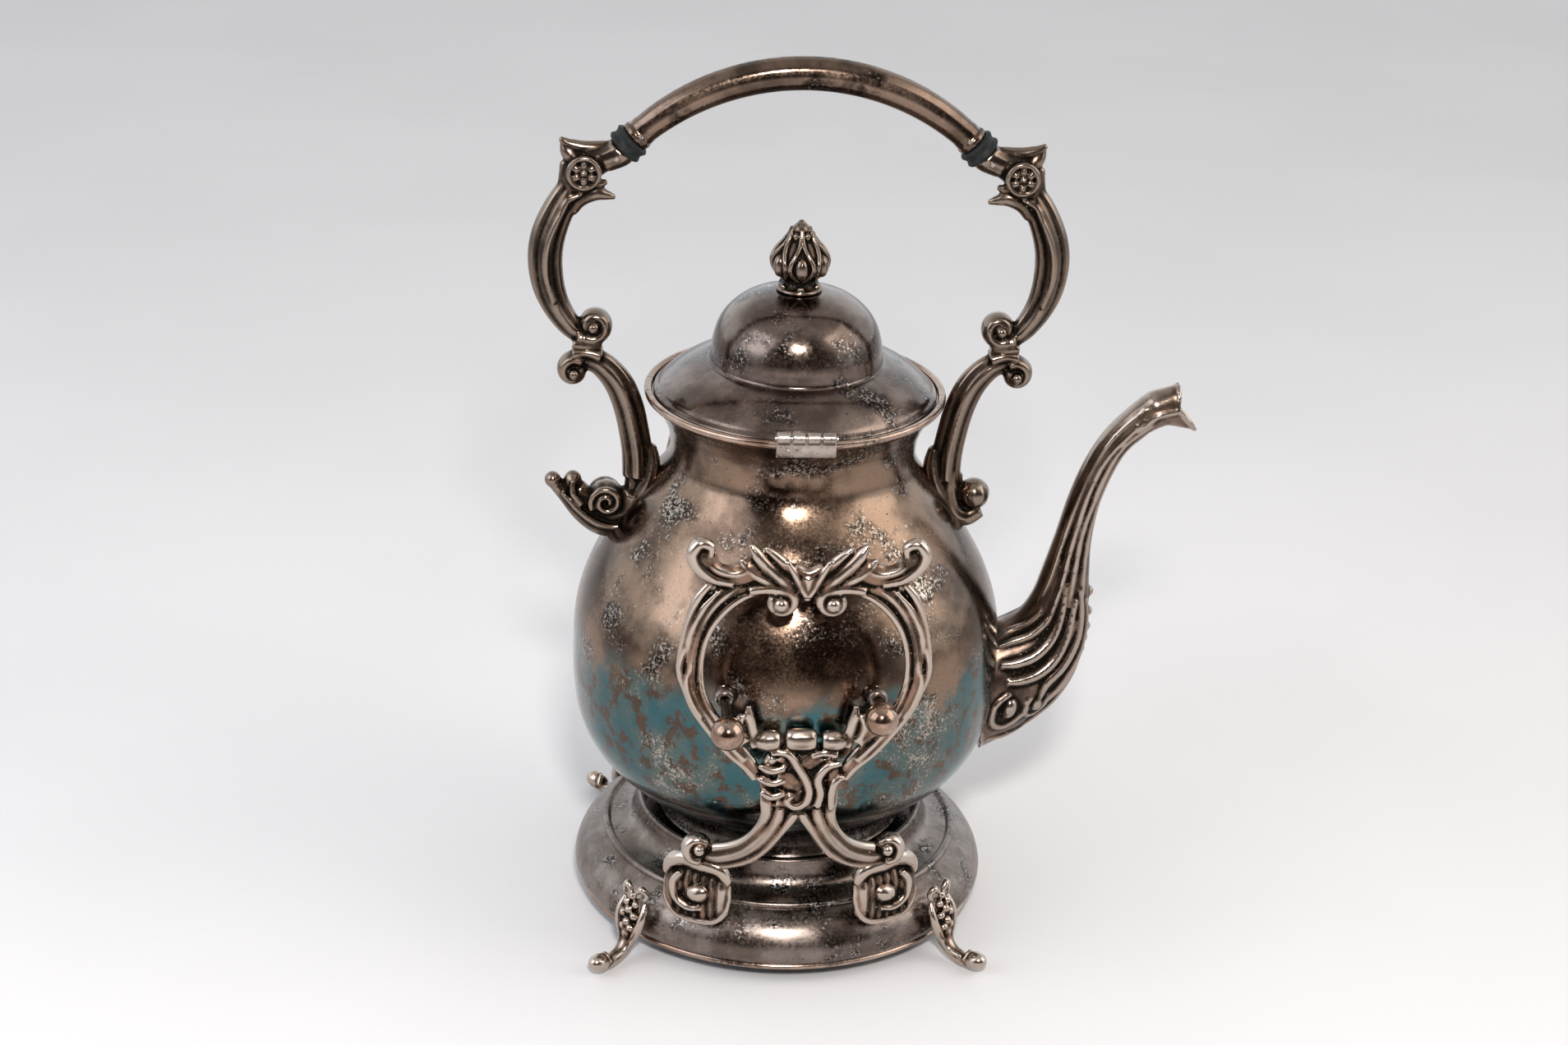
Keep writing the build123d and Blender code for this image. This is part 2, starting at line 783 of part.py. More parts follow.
# ---- handle: lower scrolls -----------------------------------------------------------------
def scroll_stem():
    """Swept stem of a lower scroll on the +X side, from its curl to the neck."""
    with BuildPart() as stem:
        with BuildLine(Plane.XZ):
            path = Spline(
                (lower_curl_out - 4.3, waist_joint - 2.5),
                (lower_curl_out - 15.5, waist_joint - 10.5),
                (rim_radius + lower_arm_radius + 0.9, rim_height - 2),
                (neck_radius + 11.5, neck_height + 1),
                (neck_radius + 8.5, neck_height - 14),
                tangents=[(-1, -0.15), (-0.25, -1)],
            )
        with BuildSketch(Plane(origin=path @ 0, z_dir=path % 0)):
            Circle(lower_arm_radius)
        sweep()
        with BuildSketch(Plane.XZ.offset(-5)):
            with Locations((lower_curl_out, lower_curl_height)):
                Circle(lower_curl_radius)
            with Locations((lower_curl_out - 3.2, waist_joint - 4)):
                Circle(5.4)
        extrude(amount=10)
    return stem.part


def trimmed_scroll(raw):
    """A lower scroll cut to the waist joint above and to the kettle's skin inside."""
    with BuildPart() as scroll:
        add(raw)
        split(bisect_by=Plane.XY.offset(waist_joint), keep=Keep.BOTTOM)
        add(kettle_envelope.part, mode=Mode.SUBTRACT)
        with BuildSketch(Plane.XY.offset(mouth_height)):
            Circle(rim_radius + 0.3)
        extrude(amount=rim_height - mouth_height, mode=Mode.SUBTRACT)
    return scroll.part.solids().sort_by(SortBy.VOLUME)[-1]


with BuildPart() as spout_scroll:
    add(scroll_stem())
    with BuildSketch(Plane.XZ.offset(-4.4)):
        with BuildLine():
            Polyline(
                (neck_radius - 2, neck_height),
                (neck_radius + 13.5, neck_height - 3),
                (neck_radius + 17, neck_height - 15),
                (neck_radius + 24, neck_height - 21),
                (neck_radius + 16, neck_height - 33),
                (neck_radius - 2, neck_height - 20),
                close=True,
            )
        make_face()
        with Locations((neck_radius + 22.9, neck_height - 17)):
            Circle(5.8)
    extrude(amount=8.8)
with BuildPart() as lower_scroll_spout_side:
    add(trimmed_scroll(spout_scroll.part))
save(lower_scroll_spout_side, "lower_scroll_spout_side")

with BuildPart() as back_scroll:
    mirror(scroll_stem(), about=Plane.YZ)
    with BuildSketch(Plane.XZ.offset(-4.8)):
        with BuildLine():
            Polyline(
                (-neck_radius + 2, neck_height),
                (-neck_radius - 16, neck_height - 5),
                (-neck_radius - 31, neck_height - 10),
                (-neck_radius - 44.5, neck_height - 9.5),
                (-neck_radius - 45.5, neck_height - 14),
                (-neck_radius - 35, neck_height - 23),
                (-neck_radius - 29, neck_height - 32),
                (-neck_radius - 21, neck_height - 36.6),
                (-neck_radius - 10, neck_height - 30),
                close=True,
            )
        make_face()
        with Locations((-neck_radius - 23.4, neck_height - 19.3)):
            Circle(7.4)
        with Locations((-neck_radius - 42.8, neck_height - 12.3)):
            Circle(3.2)
    extrude(amount=9.6)
with BuildPart() as lower_scroll_handle_side:
    add(trimmed_scroll(back_scroll.part))
save(lower_scroll_handle_side, "lower_scroll_handle_side")

# ---- handle: hollow grip, insulators and upper arms --------------------------------------------
with BuildLine(Plane.XZ) as grip_path:
    ThreePointArc(
        (-grip_half_span, grip_end_height), (0, grip_middle), (grip_half_span, grip_end_height)
    )
grip_arc = grip_path.line
grip_end = Plane(origin=grip_arc @ 1, z_dir=grip_arc % 1)

with BuildPart() as handle_grip:
    for radius, mode in ((grip_tube_radius, Mode.ADD), (grip_tube_radius - grip_wall, Mode.SUBTRACT)):
        with BuildSketch(Plane(origin=grip_arc @ 0, z_dir=grip_arc % 0)):
            Circle(radius)
        sweep(path=grip_arc, mode=mode)


ferrule_plane = grip_end.offset(insulator_length)
with BuildPart() as insulator_spout_side:
    with BuildSketch(grip_end):
        Circle(insulator_radius)
    extrude(amount=insulator_length)
    with BuildSketch(grip_end):
        Circle(grip_tube_radius - grip_wall - spigot_gap)
    extrude(amount=-spigot_length)
    with BuildSketch(ferrule_plane):
        Circle(spigot_radius)
    extrude(amount=spigot_length)
    chamfer(
        insulator_spout_side.edges().filter_by(
            lambda edge: edge.geom_type == GeomType.CIRCLE
            and abs(edge.radius - insulator_radius) < 0.01
        ),
        0.5,
    )
with BuildPart() as insulator_handle_side:
    mirror(insulator_spout_side.part, about=Plane.YZ)

with BuildPart() as upper_arm_spout_side:
    with BuildLine(Plane.XZ):
        arm = Spline(
            (rosette_out + 3.5, rosette_height),
            (arm_out, arm_height),
            (upper_curl_out + 9.5, upper_curl_height),
            (upper_curl_out + 2.5, waist_joint - 1.5),
            tangents=[(0.6, -1), (-0.9, -1)],
        )
    with BuildSketch(Plane(origin=arm @ 0, z_dir=arm % 0)):
        Circle(arm_radius)
    sweep(path=arm)
    with BuildSketch(ferrule_plane):
        Circle(grip_tube_radius - 0.2)
    extrude(amount=hypot(rosette_out - grip_half_span, 8) - insulator_length)
    with BuildSketch(Plane.XZ.offset(-5)):
        with BuildLine():
            Polyline(
                (rosette_out - 9, rosette_height + 9.5),
                (rosette_out + 6.5, rosette_height + 10),
                (rosette_out + 9, rosette_height + 7.4),
                (rosette_out + 8, rosette_height - 4),
                (rosette_out + 6, rosette_height - 14),
                (rosette_out - 11.5, rosette_height - 10),
                (rosette_out - 6, rosette_height - 4),
                close=True,
            )
        make_face()
    extrude(amount=10)
    with BuildSketch(Plane.XZ.offset(-rosette_thickness / 2)):
        with Locations((rosette_out, rosette_height)):
            Circle(rosette_radius)
    extrude(amount=rosette_thickness)
    with BuildSketch(Plane.XZ.offset(-5.2)):
        with Locations((upper_curl_out, upper_curl_height)):
            Circle(upper_curl_radius)
        with Locations((upper_curl_out + 4.5, upper_curl_height - 5.5)):
            Circle(5.0)
    extrude(amount=10.4)
    split(bisect_by=Plane.XY.offset(waist_joint), keep=Keep.TOP)
    split(bisect_by=ferrule_plane, keep=Keep.TOP)
    with BuildSketch(ferrule_plane):
        Circle(spigot_radius)
    extrude(amount=spigot_length, mode=Mode.SUBTRACT)
with BuildPart() as upper_arm_handle_side:
    mirror(upper_arm_spout_side.part, about=Plane.YZ)

# Cross pins that hold the insulators' spigots in the tube and in the arms.
pin_spots = [grip_end.offset(-3.2), ferrule_plane.offset(3.2)]
cross_pin_radius = 0.8
with BuildPart() as right_cross_pins:
    for spot, length in zip(pin_spots, (grip_tube_radius, grip_tube_radius - 0.2)):
        with Locations(Location(spot.origin, (90, 0, 0))):
            Cylinder(cross_pin_radius, 2 * length)
with BuildPart() as cross_pins:
    add(right_cross_pins.part)
    mirror(right_cross_pins.part, about=Plane.YZ)
save(cross_pins, "insulator_cross_pins")

for name, piece in {
    "insulator_spout_side": insulator_spout_side,
    "insulator_handle_side": insulator_handle_side,
    "upper_arm_spout_side": upper_arm_spout_side,
    "upper_arm_handle_side": upper_arm_handle_side,
    "handle_grip": handle_grip,
}.items():
    with BuildPart() as drilled:
        add(piece.part)
        add(cross_pins.part, mode=Mode.SUBTRACT)
    save(drilled, name)
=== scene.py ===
"""A tilting silver-plated kettle on its footed stand: shapes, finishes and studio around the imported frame."""

import logging
import math
from dataclasses import dataclass, field
from enum import Enum

import bpy
import numpy as np
from mathutils import Matrix, Vector


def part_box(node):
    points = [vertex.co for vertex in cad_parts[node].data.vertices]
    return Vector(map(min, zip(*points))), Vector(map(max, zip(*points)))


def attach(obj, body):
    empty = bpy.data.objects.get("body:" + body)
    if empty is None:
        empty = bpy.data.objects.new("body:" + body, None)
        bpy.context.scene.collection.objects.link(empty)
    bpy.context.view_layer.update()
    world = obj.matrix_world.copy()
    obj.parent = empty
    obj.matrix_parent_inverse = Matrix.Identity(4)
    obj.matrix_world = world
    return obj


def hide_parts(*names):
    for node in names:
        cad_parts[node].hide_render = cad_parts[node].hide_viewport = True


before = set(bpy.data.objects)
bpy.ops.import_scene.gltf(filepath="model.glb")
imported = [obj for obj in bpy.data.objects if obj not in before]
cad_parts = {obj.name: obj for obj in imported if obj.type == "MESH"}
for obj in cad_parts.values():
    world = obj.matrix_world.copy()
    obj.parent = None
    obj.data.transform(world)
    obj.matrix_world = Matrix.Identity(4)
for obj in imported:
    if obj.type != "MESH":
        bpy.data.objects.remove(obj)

log = logging.getLogger("kettle")

MM = 0.001  # every size below is in millimetres, and Blender's metres are reached with this
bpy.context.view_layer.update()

Object = bpy.types.Object
Path = list[tuple[float, ...]]


class Slot(Enum):
    """The record's material slots."""

    SPUN = "spun_plate"
    CAST = "cast_plate"
    PINS = "ball_pin_plate"
    BRIGHT = "bright_metal"
    INSULATOR = "insulator"


class Side(Enum):
    """Which side of the kettle a piece stands on, along X."""

    SPOUT = 1
    HANDLE = -1


# ---- hand tools ---------------------------------------------------------------------------------
def put_down() -> None:
    """Leave edit mode and let go of everything that is selected."""
    if bpy.context.mode != "OBJECT":
        bpy.ops.object.mode_set(mode="OBJECT")
    bpy.ops.object.select_all(action="DESELECT")


def pick_up(piece: Object) -> None:
    """Select one piece alone and make it the active one.

    Args:
        piece: the object to work on.
    """
    put_down()
    piece.select_set(True)
    bpy.context.view_layer.objects.active = piece


def flowing(points: Path, per_span: int = 6) -> list[tuple[float, ...]]:
    """A smooth line through points, each of which may carry a radius as its last value.

    Args:
        points: the points it passes through.
        per_span: steps from one point to the next.

    Returns:
        Points along the line, the first and last included.
    """
    known = np.array(points, float)
    padded = np.vstack([2 * known[0] - known[1], known, 2 * known[-1] - known[-2]])
    line = []
    for a, b, c, d in zip(padded, padded[1:], padded[2:], padded[3:]):
        for step in range(per_span):
            t = step / per_span
            line.append(
                b + 0.5 * t * (c - a + t * (2 * a - 5 * b + 4 * c - d + t * (3 * (b - c) + d - a)))
            )
    line.append(known[-1])
    return [tuple(float(v) for v in p) for p in line]


def inset_line(line: Path, depth: float) -> Path:
    """A profile moved sideways by depth, to the left of its direction.

    Args:
        line: (radius, height) points.
        depth: how far it moves.

    Returns:
        The moved points, never past the axis.
    """
    at = np.array(line, float)
    along = np.gradient(at, axis=0)
    along /= np.linalg.norm(along, axis=1, keepdims=True) + 1e-9
    moved = at + depth * np.stack([-along[:, 1], along[:, 0]], axis=1)
    return [(max(0.0, float(r)), float(z)) for r, z in moved]


def spun(name: str, profile: Path, steps: int = 160) -> Object:
    """Spin a half-profile round Z, as a spinner does on the lathe.

    Args:
        name: the new object's name.
        profile: (radius, height) points.
        steps: faces round the axis.

    Returns:
        A closed mesh with its place in its vertices.
    """
    put_down()
    bpy.ops.mesh.primitive_circle_add(vertices=3, radius=MM)
    piece = bpy.context.object
    piece.name = name
    bpy.ops.object.mode_set(mode="EDIT")
    bpy.ops.mesh.select_all(action="SELECT")
    bpy.ops.mesh.merge(type="CENTER")
    bpy.ops.transform.translate(value=(profile[0][0] * MM, 0, profile[0][1] * MM))
    for (r0, z0), (r1, z1) in zip(profile, profile[1:]):
        step = ((r1 - r0) * MM, 0, (z1 - z0) * MM)
        bpy.ops.mesh.extrude_region_move(TRANSFORM_OT_translate={"value": step})
    bpy.ops.mesh.select_all(action="SELECT")
    bpy.ops.mesh.spin(steps=steps, angle=2 * math.pi, center=(0, 0, 0), axis=(0, 0, 1))
    bpy.ops.mesh.select_all(action="SELECT")
    bpy.ops.mesh.remove_doubles(threshold=0.00001)
    bpy.ops.mesh.normals_make_consistent(inside=False)
    bpy.ops.object.mode_set(mode="OBJECT")
    return piece


def joined(parts: list[Object], name: str) -> Object:
    """Join meshes into one.

    Args:
        parts: the meshes, of which the first takes in the others.
        name: the result's name.

    Returns:
        The joined mesh.
    """
    put_down()
    for part in parts:
        part.select_set(True)
    bpy.context.view_layer.objects.active = parts[0]
    if len(parts) > 1:
        bpy.ops.object.join()
    piece = bpy.context.view_layer.objects.active
    piece.name = name
    return piece


def arc(centre: tuple[float, float], radius: float, degrees: range) -> Path:
    """A round stretch of an outline.

    Args:
        centre: its middle.
        radius: its radius.
        degrees: the angles of its points.

    Returns:
        The points.
    """
    turns = [math.radians(d) for d in degrees]
    return [(centre[0] + radius * math.cos(a), centre[1] + radius * math.sin(a)) for a in turns]


def placed(piece: Object, matrix: Matrix) -> Object:
    """Move a piece's vertices, and turn its faces back out if the matrix mirrors it.

    Args:
        piece: the object, which stays at the origin.
        matrix: the placement in millimetres.

    Returns:
        The same object.
    """
    in_metres = matrix.copy()
    in_metres.translation *= MM
    piece.data.transform(in_metres)
    if in_metres.determinant() < 0:
        piece.data.flip_normals()
    return piece


def mirrored(piece: Object, name: str, axis: Vector) -> Object:
    """A copy of a piece with its own mesh, mirrored along an axis.

    Args:
        piece: what is copied.
        name: the copy's name.
        axis: the direction that is reversed.

    Returns:
        The copy.
    """
    twin = piece.copy()
    twin.data = piece.data.copy()
    twin.name = name
    bpy.context.scene.collection.objects.link(twin)
    return placed(twin, Matrix.Scale(-1, 4, axis))


def apply(piece: Object, kind: str, **settings: float | str | bool) -> None:
    """Add a modifier to a piece and apply it.

    Args:
        piece: the object.
        kind: the modifier's type.
        settings: its settings.
    """
    pick_up(piece)
    modifier = piece.modifiers.new(kind.lower(), kind)
    for key, value in settings.items():
        setattr(modifier, key, value)
    bpy.ops.object.modifier_apply(modifier=modifier.name)


def smooth(piece: Object, degrees: float = 40) -> None:
    """Shade a piece smooth, with edges sharper than degrees kept.

    Args:
        piece: the object.
        degrees: the angle from which an edge stays sharp.
    """
    pick_up(piece)
    bpy.ops.object.shade_smooth_by_angle(angle=math.radians(degrees))


def mark_recesses(piece: Object, rounds: int = 30, depth: float = 0.5) -> None:
    """Store how far each point lies below its surroundings, for the dark in the recesses.

    Args:
        piece: a mesh of even density.
        rounds: how far its surroundings reach, in rounds of averaging.
        depth: the depth in millimetres that counts as a full recess.
    """
    mesh = piece.data
    count = len(mesh.vertices)
    at = np.empty(count * 3)
    mesh.vertices.foreach_get("co", at)
    at = at.reshape(-1, 3)
    normal = np.empty(count * 3)
    mesh.vertices.foreach_get("normal", normal)
    ends = np.empty(len(mesh.edges) * 2, int)
    mesh.edges.foreach_get("vertices", ends)
    one, other = ends.reshape(-1, 2).T
    degree = np.bincount(ends, minlength=count).clip(1)[:, None]
    level = at.copy()
    for _ in range(rounds):
        total = np.stack(
            [
                np.bincount(one, level[other, k], count) + np.bincount(other, level[one, k], count)
                for k in range(3)
            ],
            axis=1,
        )
        level = 0.5 * level + 0.5 * total / degree
    below = ((level - at) * normal.reshape(-1, 3)).sum(1) / (depth * MM)
    layer = mesh.attributes.new("recess", "FLOAT", "POINT")
    layer.data.foreach_set("value", np.clip(0.5 + 0.5 * below, 0, 1).astype(np.float32))


@dataclass
class Strand:
    """A tapering round strand of metal through points of (x, y, z, radius)."""

    points: Path
    flatten: float = 1.0
    middle: float = 0.0


@dataclass
class Casting:
    """A cast piece, fused from strands that are smoothed into each other."""

    name: str
    grain: float = 0.55
    rounds: int = 3
    strands: list[Strand] = field(default_factory=list)
    cores: list[Object] = field(default_factory=list)

    def strand(self, points: Path, flatten: float = 1.0, middle: float = 0.0) -> None:
        """Lay a strand, thickened along Y about middle by flatten.

        Args:
            points: (x, y, z, radius) points.
            flatten: how much thicker it gets along Y.
            middle: the plane in Y it is thickened about.
        """
        self.strands.append(Strand(flowing(points, 5), flatten, middle))

    def bead(
        self, centre: tuple[float, ...], radius: float, axis: Vector | None = None, longer: float = 1.0
    ) -> None:
        """Set a round or oval bead.

        Args:
            centre: its middle.
            radius: its radius across.
            axis: the direction it is longer in, if it is oval.
            longer: its length over its width.
        """
        direction = (axis or Vector((0, 0, 1))).normalized()
        points = []
        for step in range(13):
            angle = math.pi * step / 12
            spot = Vector(centre) - direction * (radius * longer * math.cos(angle))
            points.append((*spot, radius * max(0.03, math.sin(angle))))
        self.strands.append(Strand(points))

    def flat_strands(self, y: float, paths: list[Path], flatten: float = 1.0, both: bool = False) -> None:
        """Lay strands given as (x, z, radius) in the upright plane at y.

        Args:
            y: the plane's place.
            paths: the strands.
            flatten: how much thicker than wide they are.
            both: whether each is repeated on the other side of X = 0.
        """
        for path in paths:
            for hand in (1, -1) if both else (1,):
                self.strand([(hand * x, y, z, r) for x, z, r in path], flatten, y)

    def fuse(self, recess_depth: float = 0.5) -> Object:
        """Join the strands, fuse them into one skin and mark its recesses.

        Args:
            recess_depth: the depth in millimetres that counts as a full recess.

        Returns:
            The finished mesh.
        """
        parts = list(self.cores)
        for key in sorted({(s.flatten, s.middle) for s in self.strands}):
            curve = bpy.data.curves.new(self.name, "CURVE")
            curve.dimensions = "3D"
            curve.bevel_depth = MM
            curve.bevel_resolution = 4
            curve.use_fill_caps = True
            for strand in self.strands:
                if (strand.flatten, strand.middle) != key:
                    continue
                spline = curve.splines.new("POLY")
                spline.points.add(len(strand.points) - 1)
                for point, (x, y, z, radius) in zip(spline.points, strand.points):
                    point.co = (x * MM, y * MM, z * MM, 1)
                    point.radius = radius
            bundle = bpy.data.objects.new(self.name, curve)
            bpy.context.scene.collection.objects.link(bundle)
            pick_up(bundle)
            bpy.ops.object.convert(target="MESH")
            bundle = bpy.context.object
            flatten, middle = key
            stretch = Matrix.Translation((0, middle, 0)) @ Matrix.Diagonal((1, flatten, 1, 1))
            placed(bundle, stretch @ Matrix.Translation((0, -middle, 0)))
            parts.append(bundle)
        piece = joined(parts, self.name)
        apply(piece, "REMESH", mode="VOXEL", voxel_size=self.grain * MM, use_smooth_shade=True)
        apply(piece, "SMOOTH", factor=0.5, iterations=self.rounds)
        mark_recesses(piece, depth=recess_depth)
        return piece


def curl(
    centre: tuple[float, float],
    reach: tuple[float, float],
    thick: tuple[float, float],
    start: float,
    turn: float,
) -> Path:
    """A spiral in the upright plane.

    Args:
        centre: (x, z) of its middle.
        reach: distance of its line from the middle, at the start and at the end.
        thick: the strand's radius at the start and at the end.
        start: the angle where it starts, in degrees from +X.
        turn: how far it turns in degrees, negative for clockwise.

    Returns:
        Points of (x, z, radius).
    """
    steps = max(4, int(abs(turn) / 30))
    points = []
    for step in range(steps + 1):
        t = step / steps
        angle = math.radians(start + turn * t)
        distance = reach[0] + (reach[1] - reach[0]) * t
        points.append(
            (
                centre[0] + distance * math.cos(angle),
                centre[1] + distance * math.sin(angle),
                thick[0] + (thick[1] - thick[0]) * t,
            )
        )
    return points


def beside(path: Path, offset: float, share: float) -> Path:
    """A strand that runs beside another in the upright plane.

    Args:
        path: (x, z, radius) points.
        offset: how far to the left it runs, as a share of the radius.
        share: its radius as a share of the other's.

    Returns:
        Points of (x, z, radius).
    """
    at = np.array(path, float)
    along = np.gradient(at[:, :2], axis=0)
    along /= np.linalg.norm(along, axis=1, keepdims=True)
    moved = at[:, :2] + (offset * at[:, 2])[:, None] * np.stack([-along[:, 1], along[:, 0]], axis=1)
    return [(float(x), float(z), float(share * r)) for (x, z), r in zip(moved, at[:, 2])]


# ---- finishes -----------------------------------------------------------------------------------
def linear(colour: str) -> tuple[float, float, float, float]:
    """An sRGB hex value as the linear colour that the shaders use."""
    channels = [int(colour[i : i + 2], 16) / 255 for i in (1, 3, 5)]
    return (*[c / 12.92 if c <= 0.04045 else ((c + 0.055) / 1.055) ** 2.4 for c in channels], 1.0)


def per_metre(size: float) -> float:
    """The texture scale that gives a pattern of size millimetres."""
    return 1 / (size * MM)


def add_node(
    tree: bpy.types.NodeTree, kind: str, values: dict | None = None, **settings: object
) -> bpy.types.Node:
    """Add a node with its settings, values and links.

    Args:
        tree: the material's node tree.
        kind: the node's type.
        values: input name or number to a value, or to an output socket that is linked to it.
        settings: the node's own settings.

    Returns:
        The new node.
    """
    node = tree.nodes.new(kind)
    for key, value in settings.items():
        setattr(node, key, value)
    for key, value in (values or {}).items():
        if isinstance(value, bpy.types.NodeSocket):
            tree.links.new(value, node.inputs[key])
        else:
            node.inputs[key].default_value = value
    return node


def new_tree(name: str) -> tuple[bpy.types.Material, bpy.types.NodeTree]:
    """An empty node material and its tree.

    Args:
        name: the material's name.

    Returns:
        The material and its node tree.
    """
    material = bpy.data.materials.new(name)
    material.use_nodes = True
    material.node_tree.nodes.clear()
    return material, material.node_tree


def stepped(
    tree: bpy.types.NodeTree, source: bpy.types.NodeSocket, low: float, high: float
) -> bpy.types.NodeSocket:
    """A value that goes smoothly from 0 at low to 1 at high.

    Args:
        tree: the node tree.
        source: the value that is read.
        low: where the result is 0.
        high: where the result is 1.

    Returns:
        The socket that holds the result.
    """
    return add_node(
        tree,
        "ShaderNodeMapRange",
        {"Value": source, "From Min": low, "From Max": high},
        interpolation_type="SMOOTHSTEP",
    ).outputs["Result"]


def blended(
    tree: bpy.types.NodeTree, share: object, one: object, other: object, mode: str = "MIX"
) -> bpy.types.NodeSocket:
    """Two colours mixed by a share.

    Args:
        tree: the node tree.
        share: how much of the other colour is seen.
        one: the colour at a share of 0.
        other: the colour at a share of 1.
        mode: the way they are mixed.

    Returns:
        The socket that holds the colour.
    """
    mix = add_node(
        tree, "ShaderNodeMix", {"Factor": share, 6: one, 7: other}, data_type="RGBA", blend_type=mode
    )
    return mix.outputs[2]


def shaded(tree: bpy.types.NodeTree, values: dict) -> None:
    """End a material with one principled shader.

    Args:
        tree: the material's node tree.
        values: the shader's inputs.
    """
    shader = add_node(tree, "ShaderNodeBsdfPrincipled", values)
    add_node(tree, "ShaderNodeOutputMaterial", {"Surface": shader.outputs[0]})


@dataclass(frozen=True)
class SpunPlate:
    """Silver plate on spun brass, decades without polish.

    The eye gets a brown mirror, mottled with clean silver specks, pinkish bare patches and, low
    on the belly, a blue-green film.
    """

    name: str
    clean: str = "#aca096"
    worn: str = "#87705f"
    brown: str = "#53443a"
    dark: str = "#241c17"
    film: str = "#3b656b"
    film_edge: str = "#6e625a"
    film_top: float | None = None
    film_wander: float = 34.0
    film_fade: float = 12.0
    film_share: float = 1.0
    speck_share: float = 0.5
    patch: float = 26.0
    speck: float = 1.1
    rough_low: float = 0.11
    rough_high: float = 0.30

    def material(self) -> bpy.types.Material:
        """The finish as a node material."""
        material, tree = new_tree(self.name)
        place = add_node(tree, "ShaderNodeTexCoord").outputs["Object"]
        height = add_node(tree, "ShaderNodeSeparateXYZ", {0: place}).outputs["Z"]

        def noise(size: float, detail: float, rough: float, shift: float = 0.0) -> bpy.types.NodeSocket:
            """Noise with features of size millimetres.

            Args:
                size: the size of its features.
                detail: how many finer layers it has.
                rough: how strong the finer layers are.
                shift: a shift in metres that sets it apart from the others.

            Returns:
                The socket that holds the value.
            """
            moved = add_node(tree, "ShaderNodeMapping", {"Vector": place,
                                                         "Location": (shift, 2 * shift, shift)})
            return add_node(
                tree,
                "ShaderNodeTexNoise",
                {"Vector": moved.outputs[0], "Scale": per_metre(size), "Detail": detail, "Roughness": rough},
            ).outputs["Fac"]

        broad = noise(self.patch, 5, 0.62)
        middling = noise(self.patch * 0.28, 4, 0.65, 0.91)
        other = noise(self.patch * 0.7, 4, 0.6, 0.31)
        specks = noise(self.speck, 3, 0.75, 0.11)
        pits = noise(self.speck * 0.8, 2, 0.6, 0.53)
        colour = blended(tree, stepped(tree, broad, 0.38, 0.62), linear(self.brown), linear(self.worn))
        colour = blended(tree, stepped(tree, other, 0.52, 0.66), colour, linear(self.dark))
        if self.film_top is not None:
            edge = add_node(
                tree,
                "ShaderNodeMath",
                {0: broad, 1: self.film_wander * MM, 2: height},
                operation="MULTIPLY_ADD",
            ).outputs[0]
            low = add_node(
                tree,
                "ShaderNodeMapRange",
                {
                    "Value": edge,
                    "From Min": (self.film_top + self.film_fade) * MM,
                    "From Max": self.film_top * MM,
                    "To Max": self.film_share,
                },
                interpolation_type="SMOOTHSTEP",
            ).outputs["Result"]
            tint = blended(tree, stepped(tree, other, 0.36, 0.62), linear(self.film), linear(self.film_edge))
            tint = blended(tree, stepped(tree, middling, 0.50, 0.60), tint, linear(self.brown))
            tint = blended(tree, stepped(tree, broad, 0.56, 0.68), tint, linear(self.worn))
            colour = blended(tree, low, colour, tint)
        shared = add_node(tree, "ShaderNodeMath", {0: other, 1: specks}, operation="MULTIPLY").outputs[0]
        light = stepped(tree, shared, 0.33 - 0.06 * self.speck_share, 0.42 - 0.06 * self.speck_share)
        colour = blended(tree, light, colour, linear(self.clean))
        colour = blended(tree, stepped(tree, pits, 0.66, 0.74), colour, linear(self.dark))
        rough = add_node(
            tree,
            "ShaderNodeMapRange",
            {"Value": add_node(tree, "ShaderNodeMath", {0: specks, 1: broad}, operation="ADD").outputs[0],
             "From Min": 0.8, "From Max": 1.25, "To Min": self.rough_low, "To Max": self.rough_high},
        ).outputs["Result"]
        dents = add_node(
            tree, "ShaderNodeBump", {"Height": noise(18, 2, 0.4, 0.77), "Strength": 0.12,
                                     "Distance": 0.6 * MM}
        )
        grain = add_node(
            tree, "ShaderNodeBump",
            {"Height": specks, "Strength": 0.25, "Distance": 0.05 * MM, "Normal": dents.outputs[0]},
        )
        shaded(tree, {"Base Color": colour, "Metallic": 1.0, "Roughness": rough, "Normal": grain.outputs[0]})
        return material


